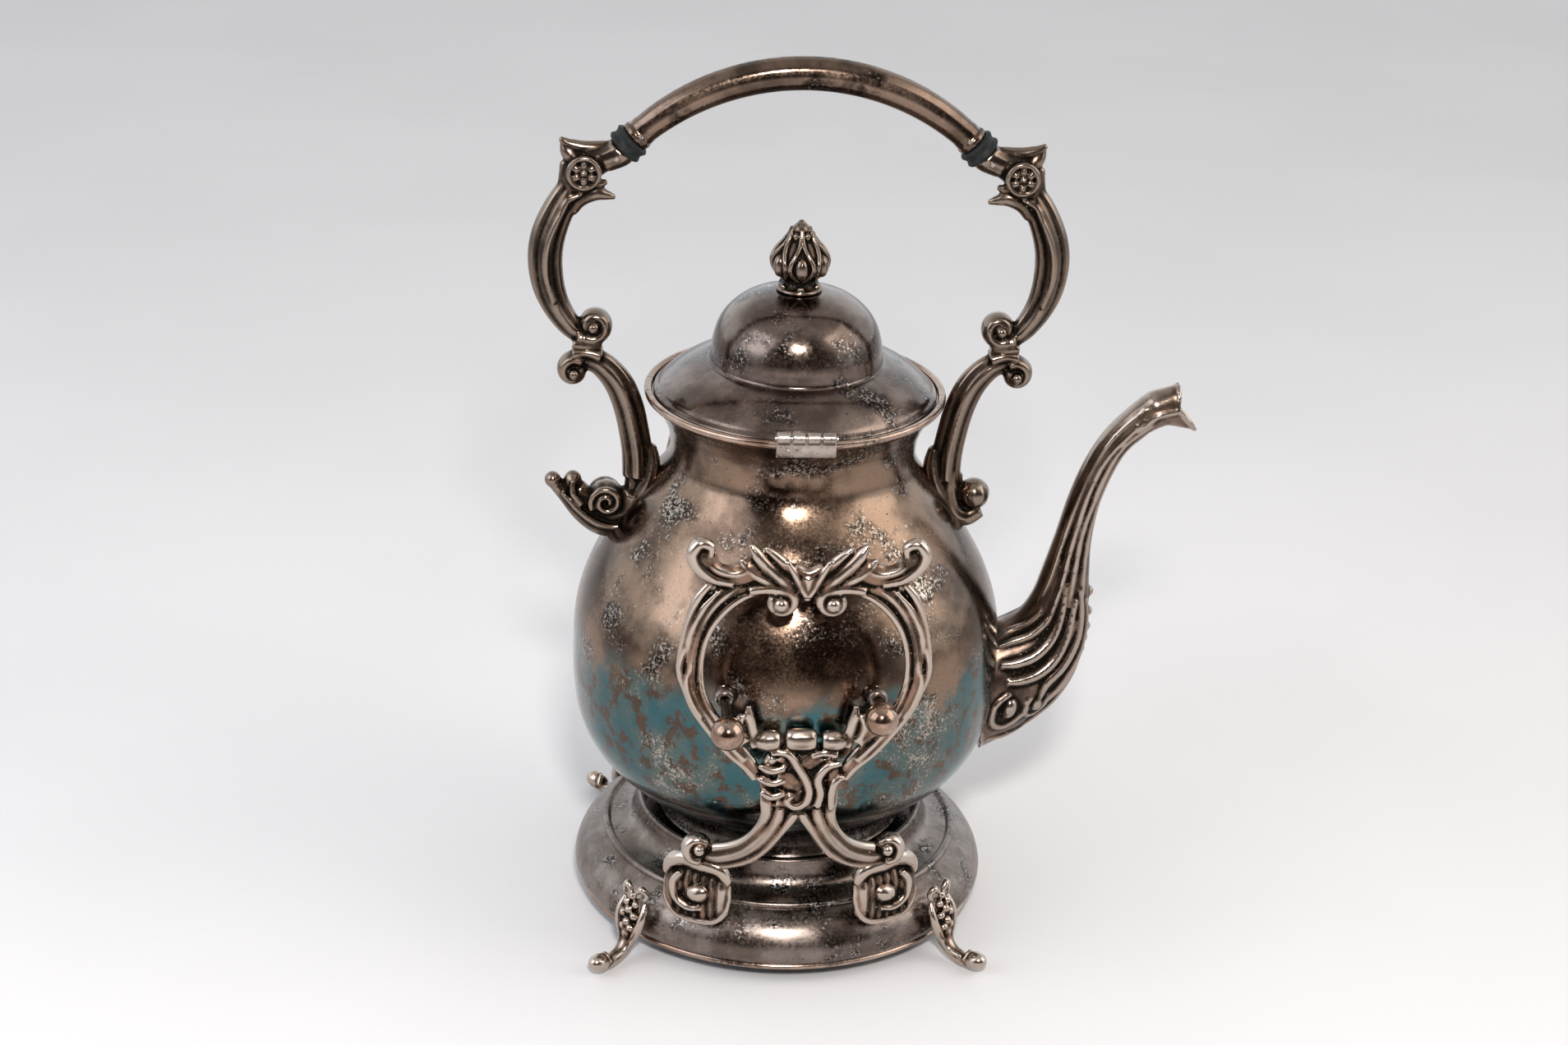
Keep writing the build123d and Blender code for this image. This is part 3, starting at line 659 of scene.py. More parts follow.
@dataclass(frozen=True)
class CastPlate:
    """Silver-plated casting, black oxide in the recesses and rubbed bright on the ridges.

    The eye gets every groove drawn dark, and warm copper-tinted highs.
    """

    name: str
    ridge: str = "#b8a99d"
    worn: str = "#8a6f5f"
    brown: str = "#514237"
    oxide: str = "#17130f"
    patch: float = 14.0
    speck: float = 0.9

    def material(self) -> bpy.types.Material:
        """The finish as a node material."""
        material, tree = new_tree(self.name)
        place = add_node(tree, "ShaderNodeTexCoord").outputs["Object"]
        recess = add_node(tree, "ShaderNodeAttribute", attribute_name="recess").outputs["Fac"]

        def noise(size: float, detail: float, rough: float) -> bpy.types.NodeSocket:
            """Noise with features of size millimetres.

            Args:
                size: the size of its features.
                detail: how many finer layers it has.
                rough: how strong the finer layers are.

            Returns:
                The socket that holds the value.
            """
            return add_node(
                tree,
                "ShaderNodeTexNoise",
                {"Vector": place, "Scale": per_metre(size), "Detail": detail, "Roughness": rough},
            ).outputs["Fac"]

        broad = noise(self.patch, 4, 0.6)
        specks = noise(self.speck, 3, 0.7)
        colour = blended(tree, stepped(tree, broad, 0.4, 0.6), linear(self.brown), linear(self.worn))
        colour = blended(tree, stepped(tree, recess, 0.44, 0.24), colour, linear(self.ridge))
        depth = add_node(tree, "ShaderNodeMath", {0: specks, 1: 0.18, 2: recess}, operation="MULTIPLY_ADD")
        colour = blended(tree, stepped(tree, depth.outputs[0], 0.57, 0.76), colour, linear(self.oxide))
        colour = blended(tree, stepped(tree, specks, 0.62, 0.72), colour, linear(self.ridge))
        rough = add_node(
            tree, "ShaderNodeMapRange",
            {"Value": recess, "From Min": 0.35, "From Max": 0.75, "To Min": 0.2, "To Max": 0.55},
        ).outputs["Result"]
        grain = add_node(
            tree, "ShaderNodeBump", {"Height": specks, "Strength": 0.3, "Distance": 0.08 * MM}
        )
        shaded(tree, {"Base Color": colour, "Metallic": 1.0, "Roughness": rough, "Normal": grain.outputs[0]})
        return material


@dataclass(frozen=True)
class Matt:
    """A dull, slightly mottled surface: the insulators' composition, or the studio floor."""

    name: str
    light: str
    deep: str
    patch: float
    grain: float
    rough: float
    bump: float
    specular: float = 0.5

    def material(self) -> bpy.types.Material:
        """The finish as a node material."""
        material, tree = new_tree(self.name)
        place = add_node(tree, "ShaderNodeTexCoord").outputs["Object"]
        mottle = add_node(
            tree, "ShaderNodeTexNoise", {"Vector": place, "Scale": per_metre(self.patch), "Detail": 4.0}
        ).outputs["Fac"]
        fine = add_node(
            tree, "ShaderNodeTexNoise", {"Vector": place, "Scale": per_metre(self.grain), "Detail": 3.0}
        ).outputs["Fac"]
        colour = blended(tree, stepped(tree, mottle, 0.35, 0.65), linear(self.light), linear(self.deep))
        relief = add_node(
            tree, "ShaderNodeBump", {"Height": fine, "Strength": 0.4, "Distance": self.bump * MM}
        )
        shaded(
            tree,
            {"Base Color": colour, "Roughness": self.rough, "Specular IOR Level": self.specular,
             "Normal": relief.outputs[0]},
        )
        return material


class Finishes:
    """Every finish of the object, made once."""

    def __init__(self) -> None:
        """Make the materials."""
        self.body = SpunPlate(
            "tarnished_silver_plate_body", film_top=126, film_share=0.85, film="#36636a",
            film_edge="#5d6a66",
        ).material()
        self.lid = SpunPlate(
            "tarnished_silver_plate_lid", worn="#85766d", brown="#5b4e48", dark="#2b2425", speck_share=0.2
        ).material()
        self.base = SpunPlate(
            "tarnished_silver_plate_base", clean="#b0aaa5", worn="#8a7e77", brown="#665a53", patch=16,
            rough_low=0.2, rough_high=0.42,
        ).material()
        self.rim = SpunPlate(
            "rubbed_silver_plate_rim", worn="#bba394", brown="#8f7464", dark="#5a463a", speck_share=0.8,
        ).material()
        self.cast = CastPlate("oxidised_silver_casting").material()
        self.handle = CastPlate(
            "oxidised_silver_handle", ridge="#85766a", worn="#5f4f44", brown="#3b322b"
        ).material()
        self.spout = CastPlate(
            "oxidised_silver_spout", ridge="#a3958a", worn="#776357", brown="#4a3f37"
        ).material()
        self.grip = SpunPlate(
            "tarnished_silver_plate_grip", worn="#806c5f", brown="#51443b", dark="#2a221d", speck_share=-0.6,
            rough_low=0.12, rough_high=0.3,
        ).material()
        self.pins = SpunPlate(
            "polished_silver_pins", worn="#b39a8b", brown="#8a7060", dark="#6a5448", rough_low=0.1,
            rough_high=0.22, patch=9,
        ).material()
        self.bright = SpunPlate(
            "bright_hinge_metal", clean="#d8d3cc", worn="#b3a89f", brown="#94877e", dark="#5f554e",
            rough_low=0.22, rough_high=0.4, patch=6, speck=0.8,
        ).material()
        self.insulator = Matt("matt_composition", "#1f2321", "#141716", 3.0, 0.4, 0.55, 0.05, 0.2).material()
        self.floor = Matt("pale_studio_cloth", "#d9d7d8", "#d6d4d5", 220.0, 1.4, 0.9, 0.2).material()


def dress(
    piece: Object, material: bpy.types.Material, slot: Slot, body: str, *nodes: str
) -> Object:
    """Give a finished piece its material and its body, and hide the frame's nodes it stands for.

    Args:
        piece: the finished mesh.
        material: its finish.
        slot: the record's material slot; not used.
        body: the body it rides on.
        nodes: the frame's nodes that it replaces.

    Returns:
        The same object.
    """
    piece.data.materials.clear()
    piece.data.materials.append(material)
    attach(piece, body)
    if nodes:
        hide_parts(*nodes)
    log.info("%s: %d faces on %s", piece.name, len(piece.data.polygons), body)
    return piece


def keep(node: str, material: bpy.types.Material) -> None:
    """Give a node of the frame that stays in view its finish.

    Args:
        node: the node's name.
        material: its finish.
    """
    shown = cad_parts[node]
    shown.data.materials.clear()
    shown.data.materials.append(material)


# ---- stand --------------------------------------------------------------------------------------
@dataclass
class Stand:
    """The spun base with its four cast feet and its two cartouche brackets."""

    finishes: Finishes
    base_radius: float = 78.5
    sheet: float = 1.4
    well_radius: float = 52.2
    well_floor: float = 29.6
    bracket_middle: float = 84.5
    feet: dict[str, int] = field(
        default_factory=lambda: {"front_left": 225, "front_right": 315, "rear_right": 45, "rear_left": 135}
    )

    def base(self) -> None:
        """Spin the base: rolled ring, beaded step, drum and the well inside it."""
        ring = self.base_radius
        skin = flowing(
            [(ring - 1.7, 8), (ring - 0.2, 10.4), (ring, 13), (ring - 1.4, 17.6), (ring - 4.6, 22.2),
             (ring - 8.6, 25.2), (ring - 10.6, 26.4)], 5
        )
        bead = arc((ring - 11.8, 27.3), 1.5, range(-30, 151, 15))
        deck = flowing(
            [(ring - 13.6, 27.6), (ring - 17, 28.2), (ring - 20.8, 29.6), (ring - 23, 32.6),
             (ring - 23.8, 36.6), (ring - 23.9, 37.9)], 4
        )
        edge = arc((ring - 24.9, 38.3), 0.9, range(0, 181, 20))
        well = [(self.well_radius, 37.6), (self.well_radius, self.well_floor + 1.2),
                (self.well_radius - 1.2, self.well_floor), (0, self.well_floor)]
        top = skin + bead + deck + edge + well
        under = [(0, self.well_floor - self.sheet), (self.well_radius - 1, self.well_floor - self.sheet),
                 (ring - 21.5, 27.6), (ring - 13, 25.8)]
        under += flowing([(ring - 10.6, 24.6), (ring - 5, 20.4), (ring - 2, 14.5), (ring - 3.1, 8)], 4)
        piece = spun("spun_base", top + under + [top[0]], 192)
        smooth(piece, 50)
        dress(piece, self.finishes.base, Slot.SPUN, "stand", "stand_base")
        keep("base_rim_wire", self.finishes.rim)

    def foot(self, place: str, angle: int) -> None:
        """Cast one cabriole foot with its fruit cluster and acorn toe.

        Args:
            place: where it stands, as the frame names it.
            angle: its direction in degrees from +X.
        """
        foot = Casting(f"cast_foot_{place}", grain=0.45, rounds=2)
        knee = self.base_radius
        foot.strand([(knee + 0.6, 0, 24, 1.4), (knee + 2.6, 0, 18.5, 3.0), (knee + 3.8, 0, 13, 3.6),
                     (knee + 5.2, 0, 8.4, 3.0), (knee + 9.4, 0, 4.4, 2.6), (knee + 15.2, 0, 3.1, 2.5),
                     (knee + 19, 0, 4.4, 2.7)])
        foot.bead((knee + 20.4, 0, 5.0), 3.6, Vector((1, 0, 0.35)), 1.25)
        foot.strand([(knee + 16.5, -2.4, 4.6, 0.9), (knee + 17.4, 0, 7.6, 1.0), (knee + 16.5, 2.4, 4.6, 0.9)])
        for hand in (1, -1):
            foot.strand([(knee + 1.4, hand * 4.8, 24, 0.9), (knee + 3.6, hand * 5.6, 19, 1.6),
                         (knee + 5.0, hand * 4.4, 13.6, 1.8), (knee + 5.8, hand * 2.2, 9.2, 1.5),
                         (knee + 9.0, hand * 1.6, 5.8, 1.1), (knee + 14, hand * 1.4, 4.8, 0.8)])
            foot.strand([(knee + 2.2, hand * 1.2, 27.6, 1.0), (knee + 1.8, hand * 3.6, 29.6, 1.4),
                         (knee + 1.2, hand * 5.6, 27.4, 1.1), (knee + 1.8, hand * 4.6, 25.2, 0.9)])
        fruit = [(0, 26), (-2.2, 23.4), (2.2, 23.4), (0, 21.2), (-2.6, 19.2), (2.6, 19.2), (0, 16.6),
                 (-1.8, 14.4), (1.8, 14.4), (0, 12.0)]
        for across, height in fruit:
            foot.bead((knee + 6.4 - 0.022 * (height - 13) ** 2 - 0.2 * abs(across), across, height), 1.55)
        piece = placed(foot.fuse(0.35), Matrix.Rotation(math.radians(angle), 4, "Z"))
        dress(piece, self.finishes.cast, Slot.CAST, "stand", f"foot_{place}")

    def frame_of_bracket(self, cast: Casting, y: float) -> None:
        """Lay the oval frame of a bracket: a web, and the ridges of its leaves on it.

        Args:
            cast: the casting.
            y: the bracket's middle plane.
        """
        cast.flat_strands(y, [
            [(20, 165.4, 3.0), (28, 163, 3.6), (34, 157.6, 4.0), (37.8, 149.6, 4.2), (39.6, 140, 4.2),
             (39.4, 131, 3.9), (36.8, 122.2, 3.7), (32.2, 113.6, 3.6), (26, 105.4, 3.4), (20, 98.6, 3.4),
             (16.4, 92.6, 3.0)],
        ], 0.62, both=True)
        cast.flat_strands(y - 1.2, [
            [(32, 168.6, 1.2), (37.8, 161, 1.6), (40.8, 151, 1.7), (42.6, 141, 1.7), (43.2, 133, 1.5),
             (41.0, 126.2, 1.5), (38.0, 118.6, 1.5), (32.4, 110, 1.5), (25.4, 101.2, 1.5), (19.4, 95.4, 1.4),
             (15.8, 90.6, 1.3)],
            [(14.6, 164.4, 1.1), (22, 161.8, 1.4), (28.6, 156.2, 1.4), (33.6, 148.4, 1.4), (36.1, 139, 1.4),
             (35.9, 128.4, 1.3), (33.4, 120, 1.3), (29.4, 113.2, 1.2)],
            [(24, 165.8, 1.2), (32, 158.9, 1.7), (37.2, 149.8, 1.9), (39.4, 139.2, 1.9), (39.4, 130.4, 1.7),
             (37.0, 122.4, 1.7), (32.2, 113.4, 1.7), (26, 105, 1.7), (20, 98.3, 1.6)],
        ], 0.9, both=True)
        cast.flat_strands(y - 2.3, [
            [(30.6, 164.6, 0.6), (35.6, 158.2, 1.2), (39.2, 150.6, 1.5), (40.8, 143.4, 1.2),
             (40.6, 137.4, 0.6)],
            [(38.8, 148, 0.5), (42.6, 140.4, 1.1), (44.0, 132.8, 0.5)],
            [(39.4, 136.4, 0.5), (41.0, 130.0, 1.0), (39.4, 123.0, 1.0), (35.6, 115.6, 0.6)],
        ], 0.8, both=True)

    def crest_of_bracket(self, cast: Casting, y: float) -> None:
        """Lay the crest: fanned leaves, ears and the two hanging curls.

        Args:
            cast: the casting.
            y: the bracket's middle plane.
        """
        cast.flat_strands(y, [
            [(2, 165.4, 4.88), (8, 169.4, 5.37), (14, 171.8, 5.37), (20, 171.2, 4.88), (27, 169, 4.39),
             (33, 171, 4.39), (36.6, 176.4, 5.12), (36.2, 179, 4.39)],
            [(12, 172, 4.15), (16, 175.6, 3.17), (19, 179.6, 1.71)],
        ], 0.62, both=True)
        cast.flat_strands(y - 1.0, [
            [(26, 167.0, 1.83), (33, 169.2, 2.32), (38.0, 173.4, 2.56), (39.8, 178, 2.56),
             (37.4, 181.8, 2.32),
             (34.0, 180.8, 1.95), (34.0, 178, 1.71), (36.2, 177.2, 1.59)],
            [(35, 174.8, 1.71), (30.6, 171.8, 1.95), (25, 170.6, 1.95), (20.4, 172.0, 1.83),
             (17.6, 174.2, 1.1)],
            [(5.0, 164.8, 1.95), (10, 169.4, 2.68), (14.8, 174.2, 2.68), (18.2, 178.4, 2.07),
             (20.2, 181.6, 0.85)],
            [(3.4, 168.4, 1.71), (7.6, 173.6, 2.07), (12.0, 177.8, 1.59), (15.2, 180.4, 0.85)],
            [(9, 165.2, 1.95), (15, 168.8, 2.44), (20.4, 172.0, 1.95), (23.4, 176.0, 0.98)],
            curl((9.2, 160.0), (5.2, 1.6), (2.4, 1.7), 60, 440),
            [(20, 164.2, 1.83), (15.4, 165.2, 2.32), (10.6, 165.2, 2.56), (6.6, 163.6, 2.2)],
        ], 1.1, both=True)
        cast.flat_strands(y - 2.6, [
            [(0.6, 162.6, 0.98), (3.0, 167.8, 1.22), (5.6, 172.6, 1.1), (7.4, 176.2, 0.61)],
            [(10, 168.4, 0.73), (14.6, 172.8, 1.1), (19.0, 177.4, 0.61)],
        ], 1.0, both=True)
        cast.flat_strands(y - 0.8, [[(-5, 173.2, 1.71), (0, 170.4, 2.68), (5, 173.2, 1.71)],
                                    [(0, 160.5, 1.46), (0, 166, 3.17), (0, 170, 3.42)]], 1.0)
        for hand in (1, -1):
            cast.bead((hand * 9.0, y - 2.0, 159.4), 2.9)

    def foot_of_bracket(self, cast: Casting, y: float) -> None:
        """Lay the lobed band, the crossed folds below it and the hooks that cradle the pins.

        Args:
            cast: the casting.
            y: the bracket's middle plane.
        """
        cast.flat_strands(y, [
            [(-7, 100.4, 4.2), (0, 97, 5.0), (7, 100.4, 4.2)],
            [(-8, 92, 4.6), (0, 90, 5.4), (8, 92, 4.6)],
            [(-8, 83.4, 4.4), (0, 82.4, 5.2), (8, 83.4, 4.4)],
        ], 0.56)
        cast.flat_strands(y, [
            [(-5.4, 105.8, 3.4), (-3, 105.8, 4.4), (3, 105.8, 4.4), (5.4, 105.8, 3.4)],
            [(-2.4, 99.6, 2.6), (-1, 93, 3.0), (0, 86, 3.2), (0, 79.6, 3.0), (0, 76.4, 2.0)],
        ], 0.8)
        cast.flat_strands(y, [
            [(7.4, 105.6, 3.0), (9.6, 105.6, 3.9), (13, 105.4, 3.8), (15.8, 105.8, 2.6)],
            [(16.2, 103, 2.0), (17.4, 109.6, 2.2), (18.6, 114.8, 1.9), (18.9, 119.2, 0.9)],
            [(20.0, 105, 2.6), (22.4, 110.4, 2.4), (20.8, 115.8, 1.5)],
            [(20.8, 111.4, 1.9), (24.2, 110.0, 2.3), (28.6, 110.4, 2.3), (32.8, 113.8, 2.2)],
            [(20.6, 104.6, 2.4), (24, 107.6, 2.6), (29, 110.6, 2.4)],
            [(9.4, 99.4, 2.4), (12.0, 93.6, 2.6), (11.6, 87.4, 2.5), (11.6, 82.4, 2.3), (11.0, 78.4, 2.2)],
        ], 0.9, both=True)
        cast.flat_strands(y - 2.4, [
            [(-10.6, 101.2, 0.8), (-7, 101.8, 1.2), (-3.8, 100.6, 1.5), (-1.2, 96.4, 1.5), (1.6, 91.6, 1.6),
             (3.4, 86.4, 1.6), (2.2, 82.0, 1.6), (-1.4, 80.2, 1.6), (-4.2, 82.2, 1.4), (-3.0, 84.8, 1.1)],
            [(14.6, 97.6, 1.0), (9.4, 96.0, 1.5), (6.4, 91.0, 1.6), (7.4, 85.4, 1.6), (6.4, 80.0, 1.4)],
            [(15.2, 92.4, 1.0), (12.2, 89.4, 1.4), (11.2, 84.4, 1.3), (11.4, 79, 1.0)],
            [(4.0, 100.4, 1.0), (8.4, 101.6, 1.3), (13.0, 100.6, 1.1)],
            [(-14.8, 96.6, 1.0), (-10.4, 94.6, 1.6), (-5.4, 95.6, 1.0)],
            [(-14.6, 91.4, 1.0), (-10.0, 89.6, 1.5), (-5.6, 90.6, 1.0)],
            [(-13.8, 86.2, 1.1), (-10, 84.2, 1.6), (-5.6, 85.4, 1.0)],
        ], 0.8)

    def leg_of_bracket(self, cast: Casting, hand: int) -> None:
        """Lay one splayed leg and the curl that it stands on.

        Args:
            cast: the casting.
            hand: 1 for the leg on the spout side, -1 for the other.
        """
        y = -self.bracket_middle
        cast.strand([(hand * 11.8, y, 81.6, 2.2), (hand * 11.2, y + 0.6, 75.4, 2.4),
                     (hand * 13.0, y + 3.4, 68.0, 2.5),
                     (hand * 17.2, y + 6.2, 61.6, 2.5), (hand * 23.0, y + 9.4, 57.4, 2.4),
                     (hand * 29.0, y + 12.4, 55.0, 2.2)])
        cast.strand([(hand * 0.8, y, 76.6, 2.2), (hand * 5.6, y + 1, 69.8, 2.5),
                     (hand * 11.8, y + 4.6, 59.4, 2.6),
                     (hand * 19.2, y + 8.8, 52.2, 2.6), (hand * 27.6, y + 12.4, 48.9, 2.5),
                     (hand * 34.4, y + 14.2, 48.9, 2.4)])
        cast.strand([(hand * 6.4, y + 0.6, 79, 2.6), (hand * 8.0, y + 1.6, 72.4, 3.6),
                     (hand * 12.4, y + 4.4, 64.2, 3.9),
                     (hand * 18.4, y + 8.0, 57.2, 3.8), (hand * 26.4, y + 12, 52.4, 3.5),
                     (hand * 32, y + 14, 51.6, 2.6)])
        spiral = curl((34.4, 54.4), (5.0, 1.2), (2.5, 1.7), -95, 430)
        cast.strand([(hand * x, y + 14.2, z, r) for x, z, r in spiral], 1.5, y + 14.2)
        cast.bead((hand * 34.2, y + 11.4, 54.4), 2.3)

    def brackets(self) -> None:
        """Cast the front bracket and its twin at the back."""
        cast = Casting("cast_front_bracket", grain=0.52, rounds=2)
        y = -self.bracket_middle
        self.frame_of_bracket(cast, y)
        self.crest_of_bracket(cast, y)
        self.foot_of_bracket(cast, y)
        for hand in (1, -1):
            self.leg_of_bracket(cast, hand)
        front = cast.fuse(0.45)
        rear = mirrored(front, "cast_rear_bracket", Vector((0, 1, 0)))
        dress(front, self.finishes.cast, Slot.CAST, "stand", "front_bracket")
        dress(rear, self.finishes.cast, Slot.CAST, "stand", "rear_bracket")

    def pads(self) -> None:
        """Cast the four shield-shaped pads between the leg curls and the base."""
        cast = Casting("cast_pad_front_right", grain=0.5, rounds=6)
        for across in (-9.6, -6.4, -3.2, 0, 3.2, 6.4, 9.6):
            drop = 0.025 * across * across
            cast.strand([(across, 0, drop - 11.2, 2.6), (across, -0.9, -4, 3.2), (across, -1.2, 2, 3.4),
                         (across, 0, 9.6 - drop, 2.8)])
        rim = [(12.4 * math.copysign(abs(math.cos(a)) ** 0.75, math.cos(a)), -1.8,
                -1.4 + 11.4 * math.copysign(abs(math.sin(a)) ** 0.75, math.sin(a)), 1.2)
               for a in [math.radians(d) for d in range(150, 391, 20)]]
        cast.strand(rim)
        cast.strand([(-12.2, -2.0, 4.4, 1.6), (-8.4, -3.2, 9.6, 3.0), (-1.4, -3.6, 10.8, 3.6),
                     (5.4, -3.6, 11.4, 3.4),
                     (10.8, -3.0, 8.4, 2.8), (12.6, -2.2, 3.4, 1.6)])
        cast.strand([(6.4, -4.0, 5.6, 1.2), (8.8, -3.8, 1.0, 1.7), (7.4, -3.7, -4.6, 1.7),
                     (2.4, -3.6, -7.6, 1.4),
                     (-2.6, -3.4, -7.0, 0.9)])
        cast.bead((-1.0, -2.8, -1.2), 3.8, Vector((1, 0, -0.3)), 1.35)
        piece = cast.fuse(0.4)
        swing = math.radians(26.4)
        tilt = Matrix.Rotation(math.radians(-10), 4, "X")
        placed(piece, Matrix.Rotation(swing, 4, "Z") @ Matrix.Translation((0, -75.4, 36.2)) @ tilt)
        left = mirrored(piece, "cast_pad_front_left", Vector((1, 0, 0)))
        rear_right = mirrored(piece, "cast_pad_rear_right", Vector((0, 1, 0)))
        rear_left = mirrored(left, "cast_pad_rear_left", Vector((0, 1, 0)))
        for pad in (piece, left, rear_right, rear_left):
            node = pad.name.replace("cast_pad", "bracket_pad")
            dress(pad, self.finishes.cast, Slot.CAST, "stand", node)

    def build(self) -> None:
        """Build the whole stand."""
        self.base()
        for place, angle in self.feet.items():
            self.foot(place, angle)
        self.brackets()
        self.pads()


# ---- kettle -------------------------------------------------------------------------------------
@dataclass
class Kettle:
    """The spun body with its foot ring and mouth rim, and the collars where its pins enter."""

    finishes: Finishes
    sheet: float = 1.4
    rim_radius: float = 55.0
    mouth_height: float = 201.0
    pin_radius: float = 1.75
    collar_radius: float = 3.9
    collar_seat: float = 72.6
    pin_across: float = 27.0
    pin_height: float = 118.5
    bottom: float = 46.2

    def body(self) -> None:
        """Spin the body, and the foot ring and mouth rim soldered on it."""
        outside = flowing([
            (0, self.bottom), (24, 46.1), (46, 46.0), (54.4, 49.6), (64.2, 57), (72.4, 66), (77.6, 77),
            (79.7, 90),
            (80.0, 104), (78.9, 120), (74.2, 135), (66.0, 150), (56.0, 165), (48.2, 175), (45.2, 182),
            (45.8, 190), (48.4, 196.4), (51.0, 201),
        ], 5)
        inside = inset_line(outside, self.sheet)[::-1]
        inside[0] = (outside[-1][0] - self.sheet, self.mouth_height)
        inside[-1] = (0, self.bottom + self.sheet)
        piece = spun("spun_kettle_body", outside + inside, 224)
        smooth(piece, 50)
        dress(piece, self.finishes.body, Slot.SPUN, "kettle", "kettle_body")

        ring = flowing([(46.6, 36), (45.9, 37.2), (44.8, 40.5), (45.0, 44), (45.8, 45.9)], 4)
        ring += [(43.4, 45.9), (42.6, 44), (42.6, 36)]
        piece = spun("spun_foot_ring", ring + [ring[0]], 160)
        smooth(piece, 40)
        dress(piece, self.finishes.base, Slot.SPUN, "kettle", "kettle_foot_ring")

        rim = self.rim_radius
        lip = flowing([(51.0, 201.1), (53.0, 202.4), (54.6, 203.7), (rim, 205.0), (54.5, 206.0),
                       (53.3, 206.2), (52.3, 205.6), (52.0, 204.3)], 4)
        lip += [(47.8, 204.2), (47.8, 201.1)]
        piece = spun("rolled_mouth_rim", lip + [lip[0]], 192)
        smooth(piece, 40)
        dress(piece, self.finishes.rim, Slot.SPUN, "kettle", "mouth_rim")

    def collars(self) -> None:
        """Turn the bead-shaped collars where the pins enter the belly, each on its blind socket."""
        bore, bead = self.pin_radius + 0.1, self.collar_radius
        swell = [(2.5 + (bead - 2.5) * math.sin(a), 4.2 - 2.6 * math.cos(a))
                 for a in [math.radians(d) for d in range(0, 181, 15)]]
        profile = [(bore, -12), (3.1, -12), (3.1, 1.2)] + swell + [(bore, 6.8), (bore, -12)]
        parts = []
        for outward in (-1, 1):
            for side in Side:
                collar = spun("turned_pin_collars", profile, 48)
                turn = Matrix.Rotation(math.radians(-90 * outward), 4, "X")
                seat = Vector((side.value * self.pin_across, outward * self.collar_seat, self.pin_height))
                parts.append(placed(collar, Matrix.Translation(seat) @ turn))
        piece = joined(parts, "turned_pin_collars")
        smooth(piece, 40)
        dress(piece, self.finishes.base, Slot.SPUN, "kettle", "pin_sockets")

    def build(self) -> None:
        """Build the kettle's own pieces."""
        self.body()
        self.collars()


